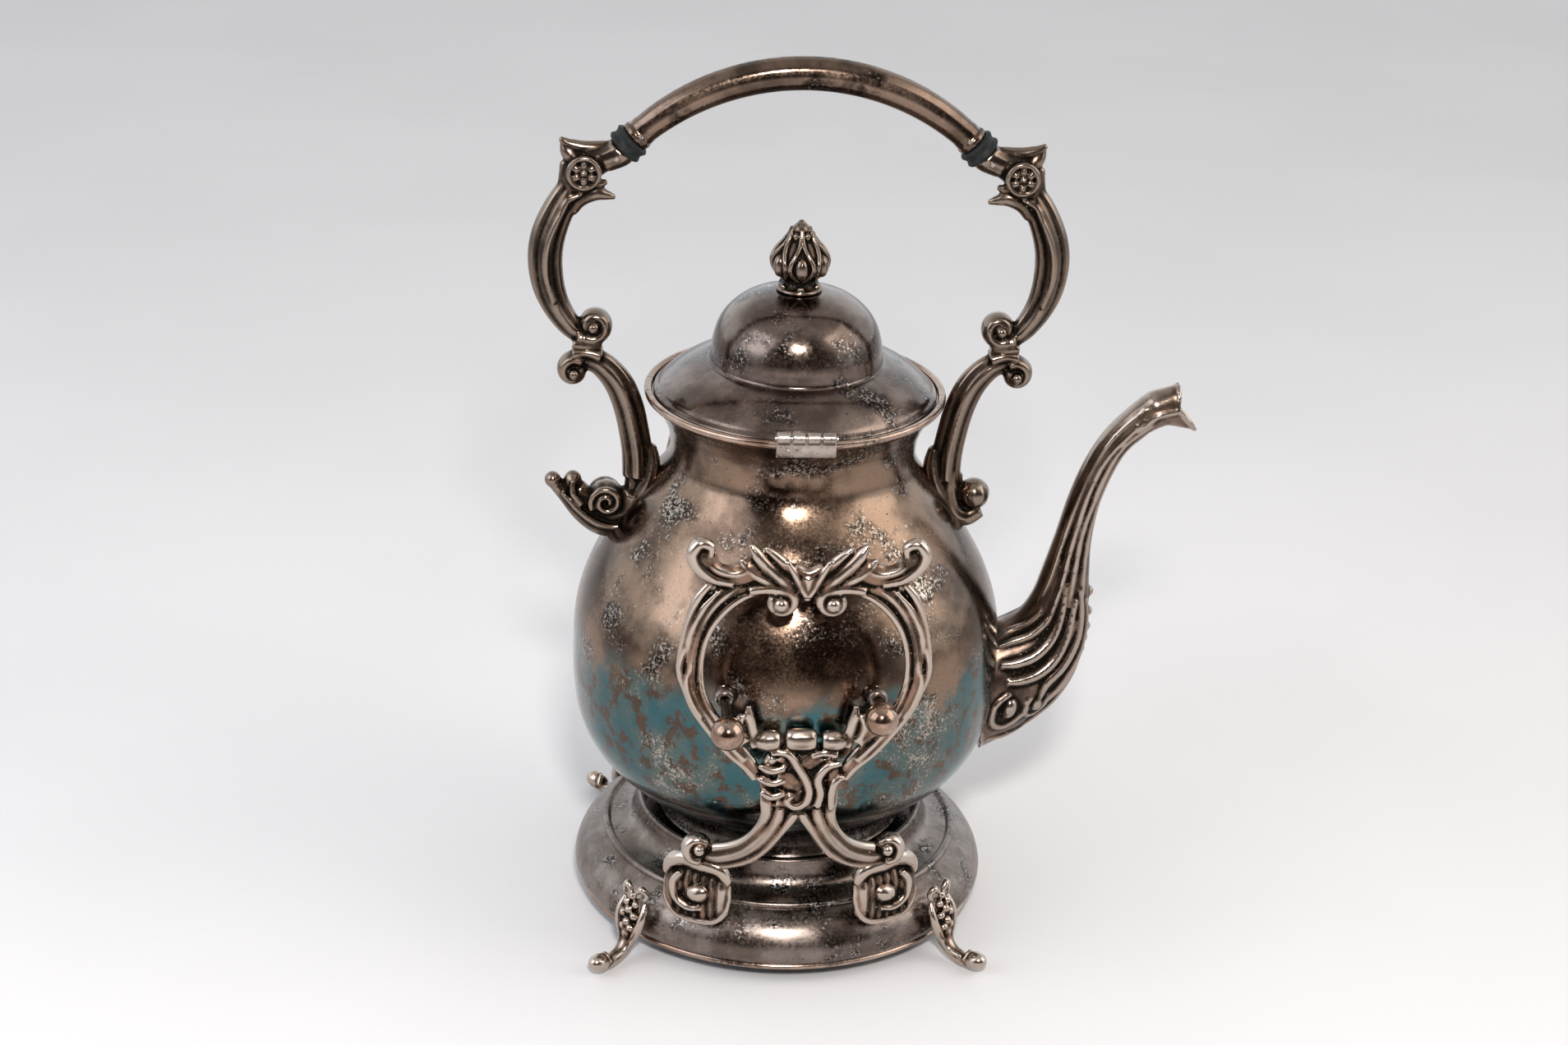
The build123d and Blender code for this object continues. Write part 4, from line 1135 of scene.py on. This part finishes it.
@dataclass
class Spout:
    """The cast spout: fluted neck, beaked mouth and an acanthus root."""

    finishes: Finishes
    wall: float = 1.2
    rows: int = 56
    columns: int = 48
    stations: tuple[tuple[float, float, float, float, float], ...] = (
        (72, 84, 8, 20, 25),
        (84, 90, 28, 17.0, 21.5),
        (93.5, 98, 42, 14.6, 18.6),
        (100, 108, 60, 11.6, 14.4),
        (103.6, 120, 74, 9.4, 11.4),
        (105, 133, 82, 7.8, 9.0),
        (106.8, 147, 80, 6.6, 7.0),
        (109.4, 161, 76, 6.0, 6.2),
        (113.4, 174, 68, 5.7, 5.8),
        (119.4, 185.4, 56, 5.6, 5.8),
        (127.4, 194, 40, 5.8, 6.2),
        (135.4, 199.6, 30, 6.2, 7.4),
    )

    def ring(self, along: float, inset: float) -> tuple[Vector, Vector, float, float]:
        """The spout's section at a place along it.

        Args:
            along: 0 at the root and 1 at the last station.
            inset: how far inside the skin.

        Returns:
            Its centre, its upward direction, its half-width and its half-height.
        """
        at = along * (len(self.stations) - 1)
        low = min(int(at), len(self.stations) - 2)
        padded = (self.stations[0], *self.stations, self.stations[-1])
        a, b, c, d = (np.array(padded[low + k]) for k in range(4))
        t = at - low
        x, z, lean, wide, high = b + 0.5 * t * (
            c - a + t * (2 * a - 5 * b + 4 * c - d + t * (3 * (b - c) + d - a))
        )
        lean = math.radians(lean)
        return Vector((x, 0, z)), Vector((-math.sin(lean), 0, math.cos(lean))), wide - inset, high - inset

    def skin(self, along: float, around: float, inset: float = 0.0) -> Vector:
        """A point on the spout.

        Args:
            along: 0 at the root and 1 at the last station.
            around: degrees from the top, positive towards -Y.
            inset: how far inside the skin.

        Returns:
            The point.
        """
        centre, up, wide, high = self.ring(along, inset)
        angle = math.radians(around)
        return centre + up * (high * math.cos(angle)) + Vector((0, -wide * math.sin(angle), 0))

    def mouth(self, around: float, inset: float) -> Vector:
        """A point on the beaked edge of the mouth, which rises above and juts out below.

        Args:
            around: degrees from the top, positive towards -Y.
            inset: how far inside the skin.

        Returns:
            The point.
        """
        angle = math.radians(around)
        share = (1 - math.cos(angle)) / 2
        top, notch, tip = Vector((141.2, 0, 208.6)), Vector((141.6, 0, 199.4)), Vector((149.2, 0, 190.6))
        if share < 0.5:
            point = top.lerp(notch, 2 * share)
        else:
            point = notch.lerp(tip, (2 * share - 1) ** 1.3)
        point.y = -(5.6 - inset) * math.sin(angle)
        inward = Vector((140, 0, 201)) - point
        inward.y = 0
        return point + inward.normalized() * inset * 0.9

    def hull(self) -> Object:
        """The plain tube under the ornament, as a closed shell."""
        rows, columns = self.rows, self.columns
        vertices, faces = [], []
        for inset in (0.0, self.wall):
            for row in range(rows + 1):
                for column in range(columns):
                    around = 360 * column / columns
                    if row == rows:
                        point = self.mouth(around, inset)
                    else:
                        point = self.skin(row / (rows - 1) * 0.985, around, inset)
                    vertices.append(point * MM)
        layer = (rows + 1) * columns
        for row in range(rows):
            for column in range(columns):
                a = row * columns + column
                b = row * columns + (column + 1) % columns
                faces.append((a, b, b + columns, a + columns))
                faces.append((layer + b, layer + a, layer + a + columns, layer + b + columns))
        for column in range(columns):
            a, b = column, (column + 1) % columns
            faces.append((b, a, layer + a, layer + b))
            a, b = a + rows * columns, b + rows * columns
            faces.append((a, b, layer + b, layer + a))
        mesh = bpy.data.meshes.new("spout_hull")
        mesh.from_pydata(vertices, [], faces)
        hull = bpy.data.objects.new("spout_hull", mesh)
        bpy.context.scene.collection.objects.link(hull)
        pick_up(hull)
        bpy.ops.object.mode_set(mode="EDIT")
        bpy.ops.mesh.select_all(action="SELECT")
        bpy.ops.mesh.normals_make_consistent(inside=False)
        bpy.ops.object.mode_set(mode="OBJECT")
        return hull

    def ridge(self, cast: Casting, path: Path) -> None:
        """Lay a ridge on the spout's skin, on both sides.

        Args:
            cast: the casting.
            path: points of (along, around, radius).
        """
        for hand in (1, -1):
            points = []
            for along, around, radius in path:
                points.append((*self.skin(along, hand * around, 0.3 * radius), radius))
            cast.strand(points)

    def build(self) -> None:
        """Cast the spout."""
        cast = Casting("cast_spout", grain=0.58, rounds=4)
        cast.cores.append(self.hull())
        flutes = [
            [(0.36, 34, 0.5), (0.45, 44, 0.9), (0.6, 52, 1.0), (0.8, 56, 0.9), (0.95, 52, 0.7)],
            [(0.32, 66, 0.7), (0.42, 74, 1.1), (0.56, 80, 1.2), (0.75, 82, 1.0), (0.93, 84, 0.7)],
            [(0.38, 98, 0.8), (0.48, 102, 1.1), (0.6, 106, 1.1), (0.8, 110, 1.0), (0.94, 112, 0.8)],
            [(0.40, 130, 0.8), (0.5, 130, 1.2), (0.64, 134, 1.1), (0.8, 136, 0.9), (0.92, 136, 0.7)],
        ]
        root = [
            [(0.105, 60, 1.4), (0.15, 68, 2.3), (0.21, 78, 2.5), (0.28, 86, 2.1), (0.35, 88, 1.5),
             (0.44, 88, 0.8)],
            [(0.10, 80, 1.2), (0.135, 88, 1.9), (0.185, 98, 2.2), (0.24, 106, 2.3), (0.31, 110, 1.9),
             (0.4, 112, 1.2)],
            [(0.12, 40, 0.8), (0.18, 44, 1.5), (0.25, 54, 1.6), (0.32, 66, 1.2), (0.38, 72, 0.8)],
            [(0.16, 24, 0.6), (0.22, 28, 1.1), (0.28, 38, 1.1), (0.34, 50, 0.8)],
            [(0.145, 124, 1.2), (0.18, 116, 2.0), (0.235, 124, 2.6), (0.30, 132, 2.5), (0.365, 130, 1.8),
             (0.43, 124, 1.0)],
            [(0.11, 142, 1.2), (0.15, 136, 1.9), (0.20, 144, 2.5), (0.26, 152, 2.6), (0.33, 152, 2.2),
             (0.4, 146, 1.2)],
            [(0.07, 156, 1.2), (0.11, 154, 1.9), (0.16, 162, 2.4), (0.22, 168, 2.5), (0.29, 170, 2.0)],
            [(0.115, 112, 0.9), (0.10, 124, 1.4), (0.055, 126, 1.4), (0.035, 112, 1.3), (0.05, 96, 1.3),
             (0.09, 92, 1.2)],
            [(0.165, 128, 0.8), (0.145, 142, 1.3), (0.105, 138, 1.3), (0.10, 122, 1.2), (0.13, 114, 1.0)],
            [(0.02, 134, 0.9), (0.05, 146, 1.6), (0.08, 160, 1.5), (0.11, 172, 1.0)],
            [(0.28, 120, 0.7), (0.31, 118, 1.2), (0.345, 122, 1.2), (0.36, 132, 0.8)],
        ]
        for path in flutes + root:
            self.ridge(cast, path)
        for hand in (1, -1):
            for along, around, size, longer in ((0.075, 107, 3.0, 1.5), (0.13, 128, 2.4, 1.4)):
                spot = self.skin(along, hand * around, 0.8)
                cast.bead(tuple(spot), size, Vector((0.2, 0, 1)), longer)
        for along, around in ((0.36, 180), (0.33, 165), (0.33, 195), (0.30, 176), (0.41, 180), (0.28, 160),
                              (0.28, 200)):
            cast.bead(tuple(self.skin(along, around, 0.2)), 2.1)
        for hand in (1, -1):
            edge = [(*self.mouth(hand * a, 0.4), 0.9) for a in (8, 30, 55, 80, 100, 125, 150, 172)]
            cast.strand(edge)
            cast.strand([(*self.mouth(hand * 88, 0.3), 1.1), (*self.skin(0.97, hand * 92, 0.2), 1.2),
                         (*self.skin(0.93, hand * 100, 0.2), 1.0), (*self.skin(0.89, hand * 96, 0.2), 0.8),
                         (*self.skin(0.9, hand * 80, 0.2), 0.7)])
        piece = cast.fuse(0.45)
        dress(piece, self.finishes.spout, Slot.CAST, "kettle", "spout")


# ---- lid ----------------------------------------------------------------------------------------
@dataclass
class Lid:
    """The hinged lid: spun flange and dome, bud finial, and the leaves of its hinge."""

    finishes: Finishes
    radius: float = 51.7
    edge_height: float = 204.3
    dome_top: float = 243.9
    sheet: float = 1.4
    hinge_half: float = 10.5
    hinge_axis: tuple[float, float, float] = (0.0, -56.9, 209.0)
    knuckle_radius: float = 2.4

    def shell(self) -> None:
        """Spin the flange and dome as one shell."""
        edge = self.edge_height
        flange = flowing([(self.radius, edge + 0.2), (self.radius - 0.2, edge + 1.5),
                          (self.radius - 1.6, edge + 2.6),
                          (48.6, edge + 4.2), (44.4, edge + 7.6), (39.6, edge + 10.4), (35, edge + 12.2),
                          (32.9, edge + 12.8)], 5)
        dome = flowing([(32.4, edge + 12.7), (31.5, edge + 13.6), (31.1, edge + 16.6), (30.6, edge + 20.6),
                        (28.8, edge + 26.4),
                        (25.4, edge + 31.4), (19.6, edge + 36), (11.6, edge + 38.8), (5, edge + 39.5),
                        (0, self.dome_top - 0.1)], 5)
        top = flange + dome
        under = inset_line(top, self.sheet)[::-1]
        under[0] = (0, self.dome_top - self.sheet)
        under[-1] = (self.radius - 1.2, edge + 0.2)
        piece = spun("spun_lid", top + under + [top[0]], 192)
        smooth(piece, 50)
        dress(piece, self.finishes.lid, Slot.SPUN, "lid", "lid")
        keep("lid_bezel", self.finishes.rim)
        keep("finial_nut", self.finishes.bright)

    def finial(self) -> None:
        """Cast the bud: six pointed petals with raised edges, and a beaded tip."""
        cast = Casting("cast_finial", grain=0.34, rounds=2)
        low = self.dome_top - 0.3
        bud = flowing([(8.4, 0.3), (8.3, 1.3), (6.9, 2.2), (6.0, 3.6), (6.2, 5.2), (8.2, 7.2), (9.6, 10),
                       (9.5, 12.6), (7.8, 15.6), (5.2, 18.8), (3.8, 21.2), (3.2, 23.4), (1.6, 25.2),
                       (0, 25.8)], 4)
        cast.cores.append(spun("finial_core", [(0, low + 0.3)] + [(r, low + z) for r, z in bud], 64))

        def on_bud(height: float, azimuth: float, out: float, radius: float) -> tuple[float, ...]:
            """A strand's point on the bud at a height and azimuth, raised by out.

            Args:
                height: height above the bud's foot.
                azimuth: angle in radians from +X.
                out: how far above the skin.
                radius: the strand's radius there.

            Returns:
                The (x, y, z, radius) point.
            """
            reach = float(np.interp(height, [z for _, z in bud], [r for r, _ in bud])) + out
            return (reach * math.cos(azimuth), reach * math.sin(azimuth), low + height, radius)

        petals = 6
        edge = [(4.6, 6, 0.1, 0.4), (6.4, 17, 0.3, 0.7), (9, 24, 0.4, 0.85), (12, 23.5, 0.5, 0.9),
                (15, 16, 0.6, 0.85),
                (17.6, 8, 0.6, 0.8), (20.6, 3, 0.6, 0.75), (23.4, 0.5, 0.4, 0.6)]
        for petal in range(petals):
            middle = 2 * math.pi * petal / petals - math.pi / 2
            for hand in (1, -1):
                cast.strand([on_bud(z, middle + hand * math.radians(a), o, r) for z, a, o, r in edge])
            x, y, z, _ = on_bud(10.4, middle, -1.0, 1)
            cast.bead((x, y, z), 2.5, Vector((0, 0, 1)), 1.65)
            x, y, z, _ = on_bud(20.8, middle + math.pi / petals, 0.0, 1)
            cast.bead((x, y, z), 1.2, Vector((0, 0, 1)), 1.3)
            x, y, z, _ = on_bud(2.2, middle, 0.0, 1)
            cast.bead((x, y, z), 1.2)
        cast.bead((0, 0, low + 24.9), 1.5)
        piece = cast.fuse(0.3)
        dress(piece, self.finishes.handle, Slot.CAST, "lid", "finial")

    def knuckles(
        self, name: str, places: tuple[int, ...], leaf: tuple[Vector, Vector], body: str, node: str
    ) -> None:
        """Make one half of the hinge: its knuckles and its leaf.

        Args:
            name: the piece's name.
            places: which of the four knuckles it has, from the handle side.
            leaf: the leaf's lowest and highest corner.
            body: the body it rides on.
            node: the node of the frame it stands for.
        """
        parts = []
        long = 2 * self.hinge_half / 4
        for place in places:
            start = -self.hinge_half + place * long + 0.35
            end = start + long - 0.7
            r = self.knuckle_radius
            profile = [(0, start), (r - 0.4, start), (r, start + 0.4), (r, end - 0.4), (r - 0.4, end),
                       (0, end)]
            knuckle = spun(name, profile, 40)
            turn = Matrix.Rotation(math.radians(90), 4, "Y")
            placed(knuckle, Matrix.Translation(Vector(self.hinge_axis)) @ turn)
            parts.append(knuckle)
        low, high = leaf
        put_down()
        bpy.ops.mesh.primitive_cube_add(size=1, location=(low + high) / 2 * MM, scale=(high - low) * MM)
        plate = bpy.context.object
        bpy.ops.object.transform_apply(location=True, rotation=True, scale=True)
        apply(plate, "BEVEL", width=0.3 * MM, segments=2)
        parts.append(plate)
        piece = joined(parts, name)
        smooth(piece, 40)
        dress(piece, self.finishes.bright, Slot.BRIGHT, body, node)

    def hinge(self) -> None:
        """Make the hinge on the rim: four knuckles and two thin leaves."""
        half = self.hinge_half
        self.knuckles("hinge_half_on_body", (0, 2), (Vector((-half, -57.6, 202.0)),
                                                     Vector((half, -56.2, 208.4))),
                      "kettle", "hinge_body_leaf")
        self.knuckles("hinge_half_on_lid", (1, 3), (Vector((-half, -56.6, 208.6)),
                                                    Vector((half, -50.2, 209.6))),
                      "lid", "hinge_lid_leaf")
        keep("hinge_pin", self.finishes.bright)

    def build(self) -> None:
        """Build the lid."""
        self.shell()
        self.finial()
        self.hinge()


# ---- handle -------------------------------------------------------------------------------------
@dataclass
class Handle:
    """The bail handle: grip, insulators, cast upper arms and lower scrolls."""

    finishes: Finishes
    half_span: float = 60.0
    crown: float = 323.3
    rise: float = 24.4
    rosette: tuple[float, float] = (77.5, 287.5)

    def grip_point(self, share: float) -> tuple[Vector, Vector]:
        """A point of the grip's arc and the direction there.

        Args:
            share: -1 at the handle-side end and 1 at the spout-side end.

        Returns:
            The point and the direction.
        """
        radius = (self.half_span**2 + self.rise**2) / (2 * self.rise)
        angle = share * math.asin(self.half_span / radius)
        centre = self.crown - radius
        spot = Vector((radius * math.sin(angle), 0, centre + radius * math.cos(angle)))
        return spot, Vector((math.cos(angle), 0, -math.sin(angle)))

    def grip(self) -> None:
        """Bend the tube of the grip, a little slimmer towards its ends."""
        cast = Casting("drawn_grip", grain=0.7, rounds=4)
        points = []
        for step in range(25):
            share = -1 + step / 12
            spot, _ = self.grip_point(share)
            points.append((*spot, 6.2 - 1.1 * abs(share) ** 2.2))
        for hand in (1, -1):
            for share, radius in ((0.94, 5.5), (0.975, 6.1), (1.0, 5.8)):
                spot, _ = self.grip_point(hand * share)
                ahead, _ = self.grip_point(hand * (share - 0.012))
                cast.strand([(*ahead, radius), (*spot, radius)])
        cast.strand(points)
        piece = cast.fuse(0.6)
        dress(piece, self.finishes.grip, Slot.SPUN, "kettle", "handle_grip")

    def insulator(self, side: Side) -> None:
        """Turn an insulator with its two beads.

        Args:
            side: the end of the grip that it is on.
        """
        collar = flowing([(5.4, -0.2), (6.2, 0.1), (6.9, 0.9), (6.5, 1.9), (6.2, 2.8), (6.5, 3.7), (6.9, 4.6),
                          (6.3, 5.4), (5.4, 5.7)], 4)
        piece = spun("turned_insulator_" + side.name.lower(), [(0, -0.2)] + collar + [(0, 5.7)], 72)
        smooth(piece, 40)
        spot, along = self.grip_point(1.0)
        turn = Vector((0, 0, 1)).rotation_difference(along).to_matrix().to_4x4()
        placed(piece, Matrix.Diagonal((side.value, 1, 1, 1)) @ Matrix.Translation(spot) @ turn)
        node = f"insulator_{side.name.lower()}_side"
        dress(piece, self.finishes.insulator, Slot.INSULATOR, "kettle", node)

    def fluted(self, cast: Casting, path: Path, deep: float) -> None:
        """Lay a stem of three strands side by side, so that two grooves run along it.

        Args:
            cast: the casting.
            path: (x, z, radius) points of the stem.
            deep: how much thicker than wide it is.
        """
        cast.flat_strands(0, [beside(path, 0.0, 0.62)], deep * 1.2)
        cast.flat_strands(0, [beside(path, 0.54, 0.46), beside(path, -0.54, 0.46)], deep)

    def upper_arm(self) -> Object:
        """Cast the upper arm of the spout side."""
        cast = Casting("cast_upper_arm_spout", grain=0.55, rounds=2)
        self.fluted(cast, [(80.4, 283, 4.6), (85.6, 274, 5.6), (89.6, 264, 6.2), (91, 255, 6.3),
                           (90, 245, 5.9),
                           (87, 236.6, 5.1), (82.4, 229.6, 4.4), (77.6, 225.4, 3.8)], 1.25)
        cast.flat_strands(0, [curl((73.6, 229.8), (5.2, 1.0), (2.9, 2.0), -62, -480)], 1.9)
        cast.flat_strands(0, [[(79, 226, 2.8), (74, 224.0, 2.8), (70.4, 223.4, 2.4)],
                              [(70.6, 222.6, 2.2), (76, 222.4, 2.6), (81, 222.6, 2.2)]], 1.8)
        for y in (-5.0, 5.0):
            cast.bead((73.6, y, 229.8), 2.1)
        spot, along = self.grip_point(1.0)
        start = spot + along * 5.6
        cast.strand([(*start, 5.4), (*(start + along * 1.6), 5.6), (70.4, 0, 291.4, 5.2)])
        cast.flat_strands(0, [
            [(70, 292.2, 5.0), (77.6, 287.6, 6.4), (80.4, 280.6, 5.4)],
            [(70, 295.4, 2.6), (77, 295.2, 2.6), (82.6, 296.4, 2.1), (86.0, 298.6, 0.9)],
            [(80, 290.6, 3.6), (83.2, 293.8, 2.8), (85.0, 296.8, 1.2)],
            [(84, 290, 2.0), (84.4, 282, 2.4), (86.8, 275, 2.2)],
            [(82.4, 272.4, 3.0), (79.0, 276.8, 3.4), (73.8, 278.6, 2.9), (69.4, 278.0, 1.9),
             (66.2, 277.2, 0.8)],
            [(76, 283.4, 2.8), (72.4, 282.2, 2.0), (69.2, 283.0, 0.9)],
            [(86, 268, 1.8), (82, 273.4, 2.4), (80, 279, 2.2)],
        ], 0.92)
        for y in (-6.2, 6.2):
            cast.strand([(x, y * 0.93, z, 1.0) for x, z in arc(self.rosette, 5.4, range(0, 361, 24))])
            for x, z in arc(self.rosette, 3.0, range(30, 390, 60)):
                cast.bead((x, y * 0.92, z), 1.35)
            cast.bead((self.rosette[0], y * 0.98, self.rosette[1]), 1.2)
        for y in (-5.0, 5.0):
            cast.strand([(83.4, y, 276, 0.7), (87.4, y * 1.06, 268, 1.1), (90.4, y * 1.08, 259, 1.2),
                         (90.6, y * 1.05, 249, 1.1), (87.6, y, 239, 0.8)])
            cast.strand([(78.4, y * 0.8, 279.4, 0.8), (83.4, y * 0.9, 276.6, 1.1),
                         (86.0, y * 0.96, 271, 0.9)])
        return cast.fuse(0.5)

    def stem(self, cast: Casting) -> None:
        """Lay the stem of a lower scroll, from its curl down to the kettle's neck.

        Args:
            cast: the casting.
        """
        self.fluted(cast, [(76.6, 217.2, 4.0), (70.4, 214.2, 4.8), (64.6, 207.6, 5.4), (60.8, 198.6, 5.6),
                           (58.6, 189, 5.6), (57.2, 180, 5.7), (56.8, 171, 5.8)], 1.2)
        cast.flat_strands(0, [curl((80.4, 212.0), (5.0, 1.2), (2.6, 1.8), 125, -430),
                              [(70.6, 218.2, 2.8), (76, 219.6, 2.6), (81, 218.8, 2.4)]], 1.8)
        for y in (-4.6, 4.6):
            cast.bead((80.4, y, 211.8), 2.0)
        cast.flat_strands(0, [[(52.4, 182.6, 2.2), (52.0, 175, 3.6), (54.6, 166, 4.6),
                               (58.4, 158.6, 4.4)]], 1.2)

    def spout_scroll(self) -> None:
        """Cast the lower scroll of the spout side, which ends in a ball."""
        cast = Casting("cast_lower_scroll_spout", grain=0.55, rounds=2)
        self.stem(cast)
        cast.bead((68.0, 0, 164.4), 6.0)
        cast.flat_strands(0, [
            [(58.0, 174, 3.6), (58.4, 165, 4.2), (60.6, 158, 4.4), (65.4, 155.8, 4.2), (70.4, 158.6, 3.6)],
            [(56.6, 165, 3.4), (58.4, 157.6, 3.6), (60.6, 152.4, 2.6), (61.2, 149.2, 1.3)],
            [(62.6, 172.4, 1.0), (62.4, 166.4, 1.3), (63.2, 161.0, 1.1)],
        ], 1.2)
        piece = cast.fuse(0.5)
        dress(piece, self.finishes.handle, Slot.CAST, "kettle", "lower_scroll_spout_side")

    def handle_scroll(self) -> None:
        """Cast the lower scroll of the handle side, which ends in a leafy cup and a spiral."""
        cast = Casting("cast_lower_scroll_handle", grain=0.55, rounds=2)
        self.stem(cast)
        cast.strand([(68.2, -4.2, 161.6, 6.2), (68.2, 0, 161.6, 7.2), (68.2, 4.2, 161.6, 6.2)])
        cast.flat_strands(0, [
            [(87.8, 168.0, 2.4), (83, 162.6, 3.0), (77.6, 156.4, 3.8), (71.2, 151.6, 4.2), (65.0, 150.4, 4.2),
             (60, 152.4, 4.2), (56, 159, 4.4), (53.6, 168, 4.2)],
            [(79, 166, 3.4), (75, 161, 4.0), (70, 157, 4.4), (62, 157, 4.6), (58, 164, 4.8)],
            [(58, 172, 3.4), (58.4, 165, 3.4)],
        ], 1.1)
        for y in (-5.2, 5.2):
            spiral = curl((68.2, 161.8), (6.0, 0.9), (1.3, 0.9), -30, 620)
            cast.strand([(x, y, z, r) for x, z, r in spiral])
            cast.strand([(84, y * 0.7, 164.6, 0.8), (78, y * 0.92, 158.2, 1.2), (70.8, y, 153.2, 1.3),
                         (63, y * 0.96, 152.4, 1.1), (57.6, y * 0.9, 158.6, 0.8)])
            cast.strand([(80.6, y * 0.72, 170, 0.9), (80.4, y * 0.86, 165, 1.2), (77, y * 0.96, 160.6, 1.0)])
        cast.bead((88.0, 0, 168.9), 3.1)
        cast.bead((80.6, 0, 168.4), 3.4, Vector((0, 0, 1)), 1.2)
        piece = placed(cast.fuse(0.5), Matrix.Scale(-1, 4, Vector((1, 0, 0))))
        dress(piece, self.finishes.handle, Slot.CAST, "kettle", "lower_scroll_handle_side")

    def build(self) -> None:
        """Build the handle."""
        self.grip()
        for side in Side:
            self.insulator(side)
        spout_side = self.upper_arm()
        handle_side = mirrored(spout_side, "cast_upper_arm_handle", Vector((1, 0, 0)))
        dress(spout_side, self.finishes.handle, Slot.CAST, "kettle", "upper_arm_spout_side")
        dress(handle_side, self.finishes.handle, Slot.CAST, "kettle", "upper_arm_handle_side")
        self.spout_scroll()
        self.handle_scroll()
        keep("insulator_cross_pins", self.finishes.bright)


@dataclass
class BallPins:
    """The four ball-headed pins that carry the kettle."""

    finishes: Finishes
    ball_radius: float = 6.0
    rod_radius: float = 1.75

    def build(self) -> None:
        """Turn each pin where the frame holds it."""
        for front in ("front", "rear"):
            for side in Side:
                body = f"pin_{front}_{side.name.lower()}_side"
                node = f"ball_{body}"
                low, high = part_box(node)
                length = (high.y - low.y) / MM
                ball = self.ball_radius
                head = [(ball * math.sin(a), length - ball - ball * math.cos(a))
                        for a in [math.pi * (0.12 + 0.88 * k / 24) for k in range(25)]]
                head[-1] = (0, length)
                rod = [(0, 0), (self.rod_radius - 0.4, 0), (self.rod_radius, 0.6),
                       (self.rod_radius, length - 2 * ball - 0.6),
                       (self.rod_radius + 0.5, length - 2 * ball + 0.2)]
                piece = spun(f"turned_{body}", rod + head, 72)
                smooth(piece, 40)
                outward = -1 if front == "front" else 1
                start = high.y if outward < 0 else low.y
                turn = Matrix.Rotation(math.radians(-90 * outward), 4, "X")
                middle = Vector(((low.x + high.x) / 2, start, (low.z + high.z) / 2)) / MM
                placed(piece, Matrix.Translation(middle) @ turn)
                dress(piece, self.finishes.pins, Slot.PINS, body, node)


# ---- studio -------------------------------------------------------------------------------------
@dataclass
class Studio:
    """The floor, the lights and the camera."""

    finishes: Finishes
    distance: float = 1.100
    elevation: float = 23.8
    azimuth: float = -4.6
    roll: float = 2.2
    lens: float = 67.94
    aim: tuple[float, float, float] = (-0.0022, 0.0, 0.1520)
    sensor: float = 36.0
    floor_side: float = 60.0
    lit_height: float = 0.13
    sky_strength: float = 1.75

    def floor(self) -> None:
        """Lay the plain pale floor."""
        put_down()
        bpy.ops.mesh.primitive_plane_add(size=self.floor_side, location=(0, 0, 0))
        floor = bpy.context.object
        floor.name = "studio_floor"
        floor.data.materials.append(self.finishes.floor)

    def light(
        self, name: str, place: tuple[float, float, float], size: float, power: float, tint: str
    ) -> None:
        """Hang a soft square light that faces the kettle.

        Args:
            name: the light's name.
            place: where it hangs, in metres.
            size: its side in metres.
            power: its power in watts.
            tint: its colour.
        """
        lamp = bpy.data.lights.new(name, "AREA")
        lamp.size = size
        lamp.energy = power
        lamp.color = linear(tint)[:3]
        holder = bpy.data.objects.new(name, lamp)
        holder.location = place
        towards = Vector((0, 0, self.lit_height)) - Vector(place)
        holder.rotation_euler = towards.to_track_quat("-Z", "Y").to_euler()
        bpy.context.scene.collection.objects.link(holder)

    def surroundings(self) -> None:
        """Pale walls behind and beside the kettle, a dim room in front of it and a grey ceiling."""
        world = bpy.data.worlds.new("studio")
        bpy.context.scene.world = world
        world.use_nodes = True
        tree = world.node_tree
        tree.nodes.clear()
        way = add_node(tree, "ShaderNodeTexCoord").outputs["Generated"]
        split = add_node(tree, "ShaderNodeSeparateXYZ", {0: way})
        ceiling = stepped(tree, split.outputs["Z"], 0.3, 0.9)
        walls = blended(tree, ceiling, linear("#d8e0e6"), linear("#a8a6a4"))
        front = stepped(tree, split.outputs["Y"], -0.25, -0.8)
        sky = blended(tree, front, walls, linear("#3a2f29"))
        glow = add_node(tree, "ShaderNodeBackground", {"Color": sky, "Strength": self.sky_strength})
        add_node(tree, "ShaderNodeOutputWorld", {"Surface": glow.outputs[0]})

    def camera(self) -> None:
        """Set the camera at the view's angle, with depth of field off."""
        lens = bpy.data.cameras.new("camera")
        lens.lens = self.lens
        lens.sensor_width = self.sensor
        lens.clip_start = 0.05
        camera = bpy.data.objects.new("camera", lens)
        bpy.context.scene.collection.objects.link(camera)
        a, e = math.radians(self.azimuth), math.radians(self.elevation)
        out = Vector((math.sin(a) * math.cos(e), -math.cos(a) * math.cos(e), math.sin(e)))
        aim = Vector(self.aim)
        look = (-out).to_track_quat("-Z", "Y").to_matrix().to_4x4()
        roll = Matrix.Rotation(math.radians(self.roll), 4, "Z")
        camera.matrix_world = Matrix.Translation(aim + out * self.distance) @ look @ roll
        bpy.context.scene.camera = camera

    def build(self) -> None:
        """Set up the studio."""
        self.floor()
        self.light("key", (-0.03, -0.98, 0.86), 0.12, 11, "#fffcf8")
        self.light("left_fill", (-1.1, -0.5, 0.9), 1.0, 7, "#eef4ff")
        self.light("right_fill", (1.1, -0.3, 0.9), 1.0, 6, "#fff6ea")
        self.surroundings()
        self.camera()
        bpy.context.scene.view_settings.view_transform = "Standard"


def main() -> None:
    """Build the studio, the kettle's stand and the kettle, in that order."""
    logging.basicConfig(level=logging.INFO, format="%(name)s: %(message)s")
    finishes = Finishes()
    Studio(finishes).build()
    Stand(finishes).build()
    Kettle(finishes).build()
    Spout(finishes).build()
    Lid(finishes).build()
    Handle(finishes).build()
    BallPins(finishes).build()


if __name__ == "__main__":
    main()
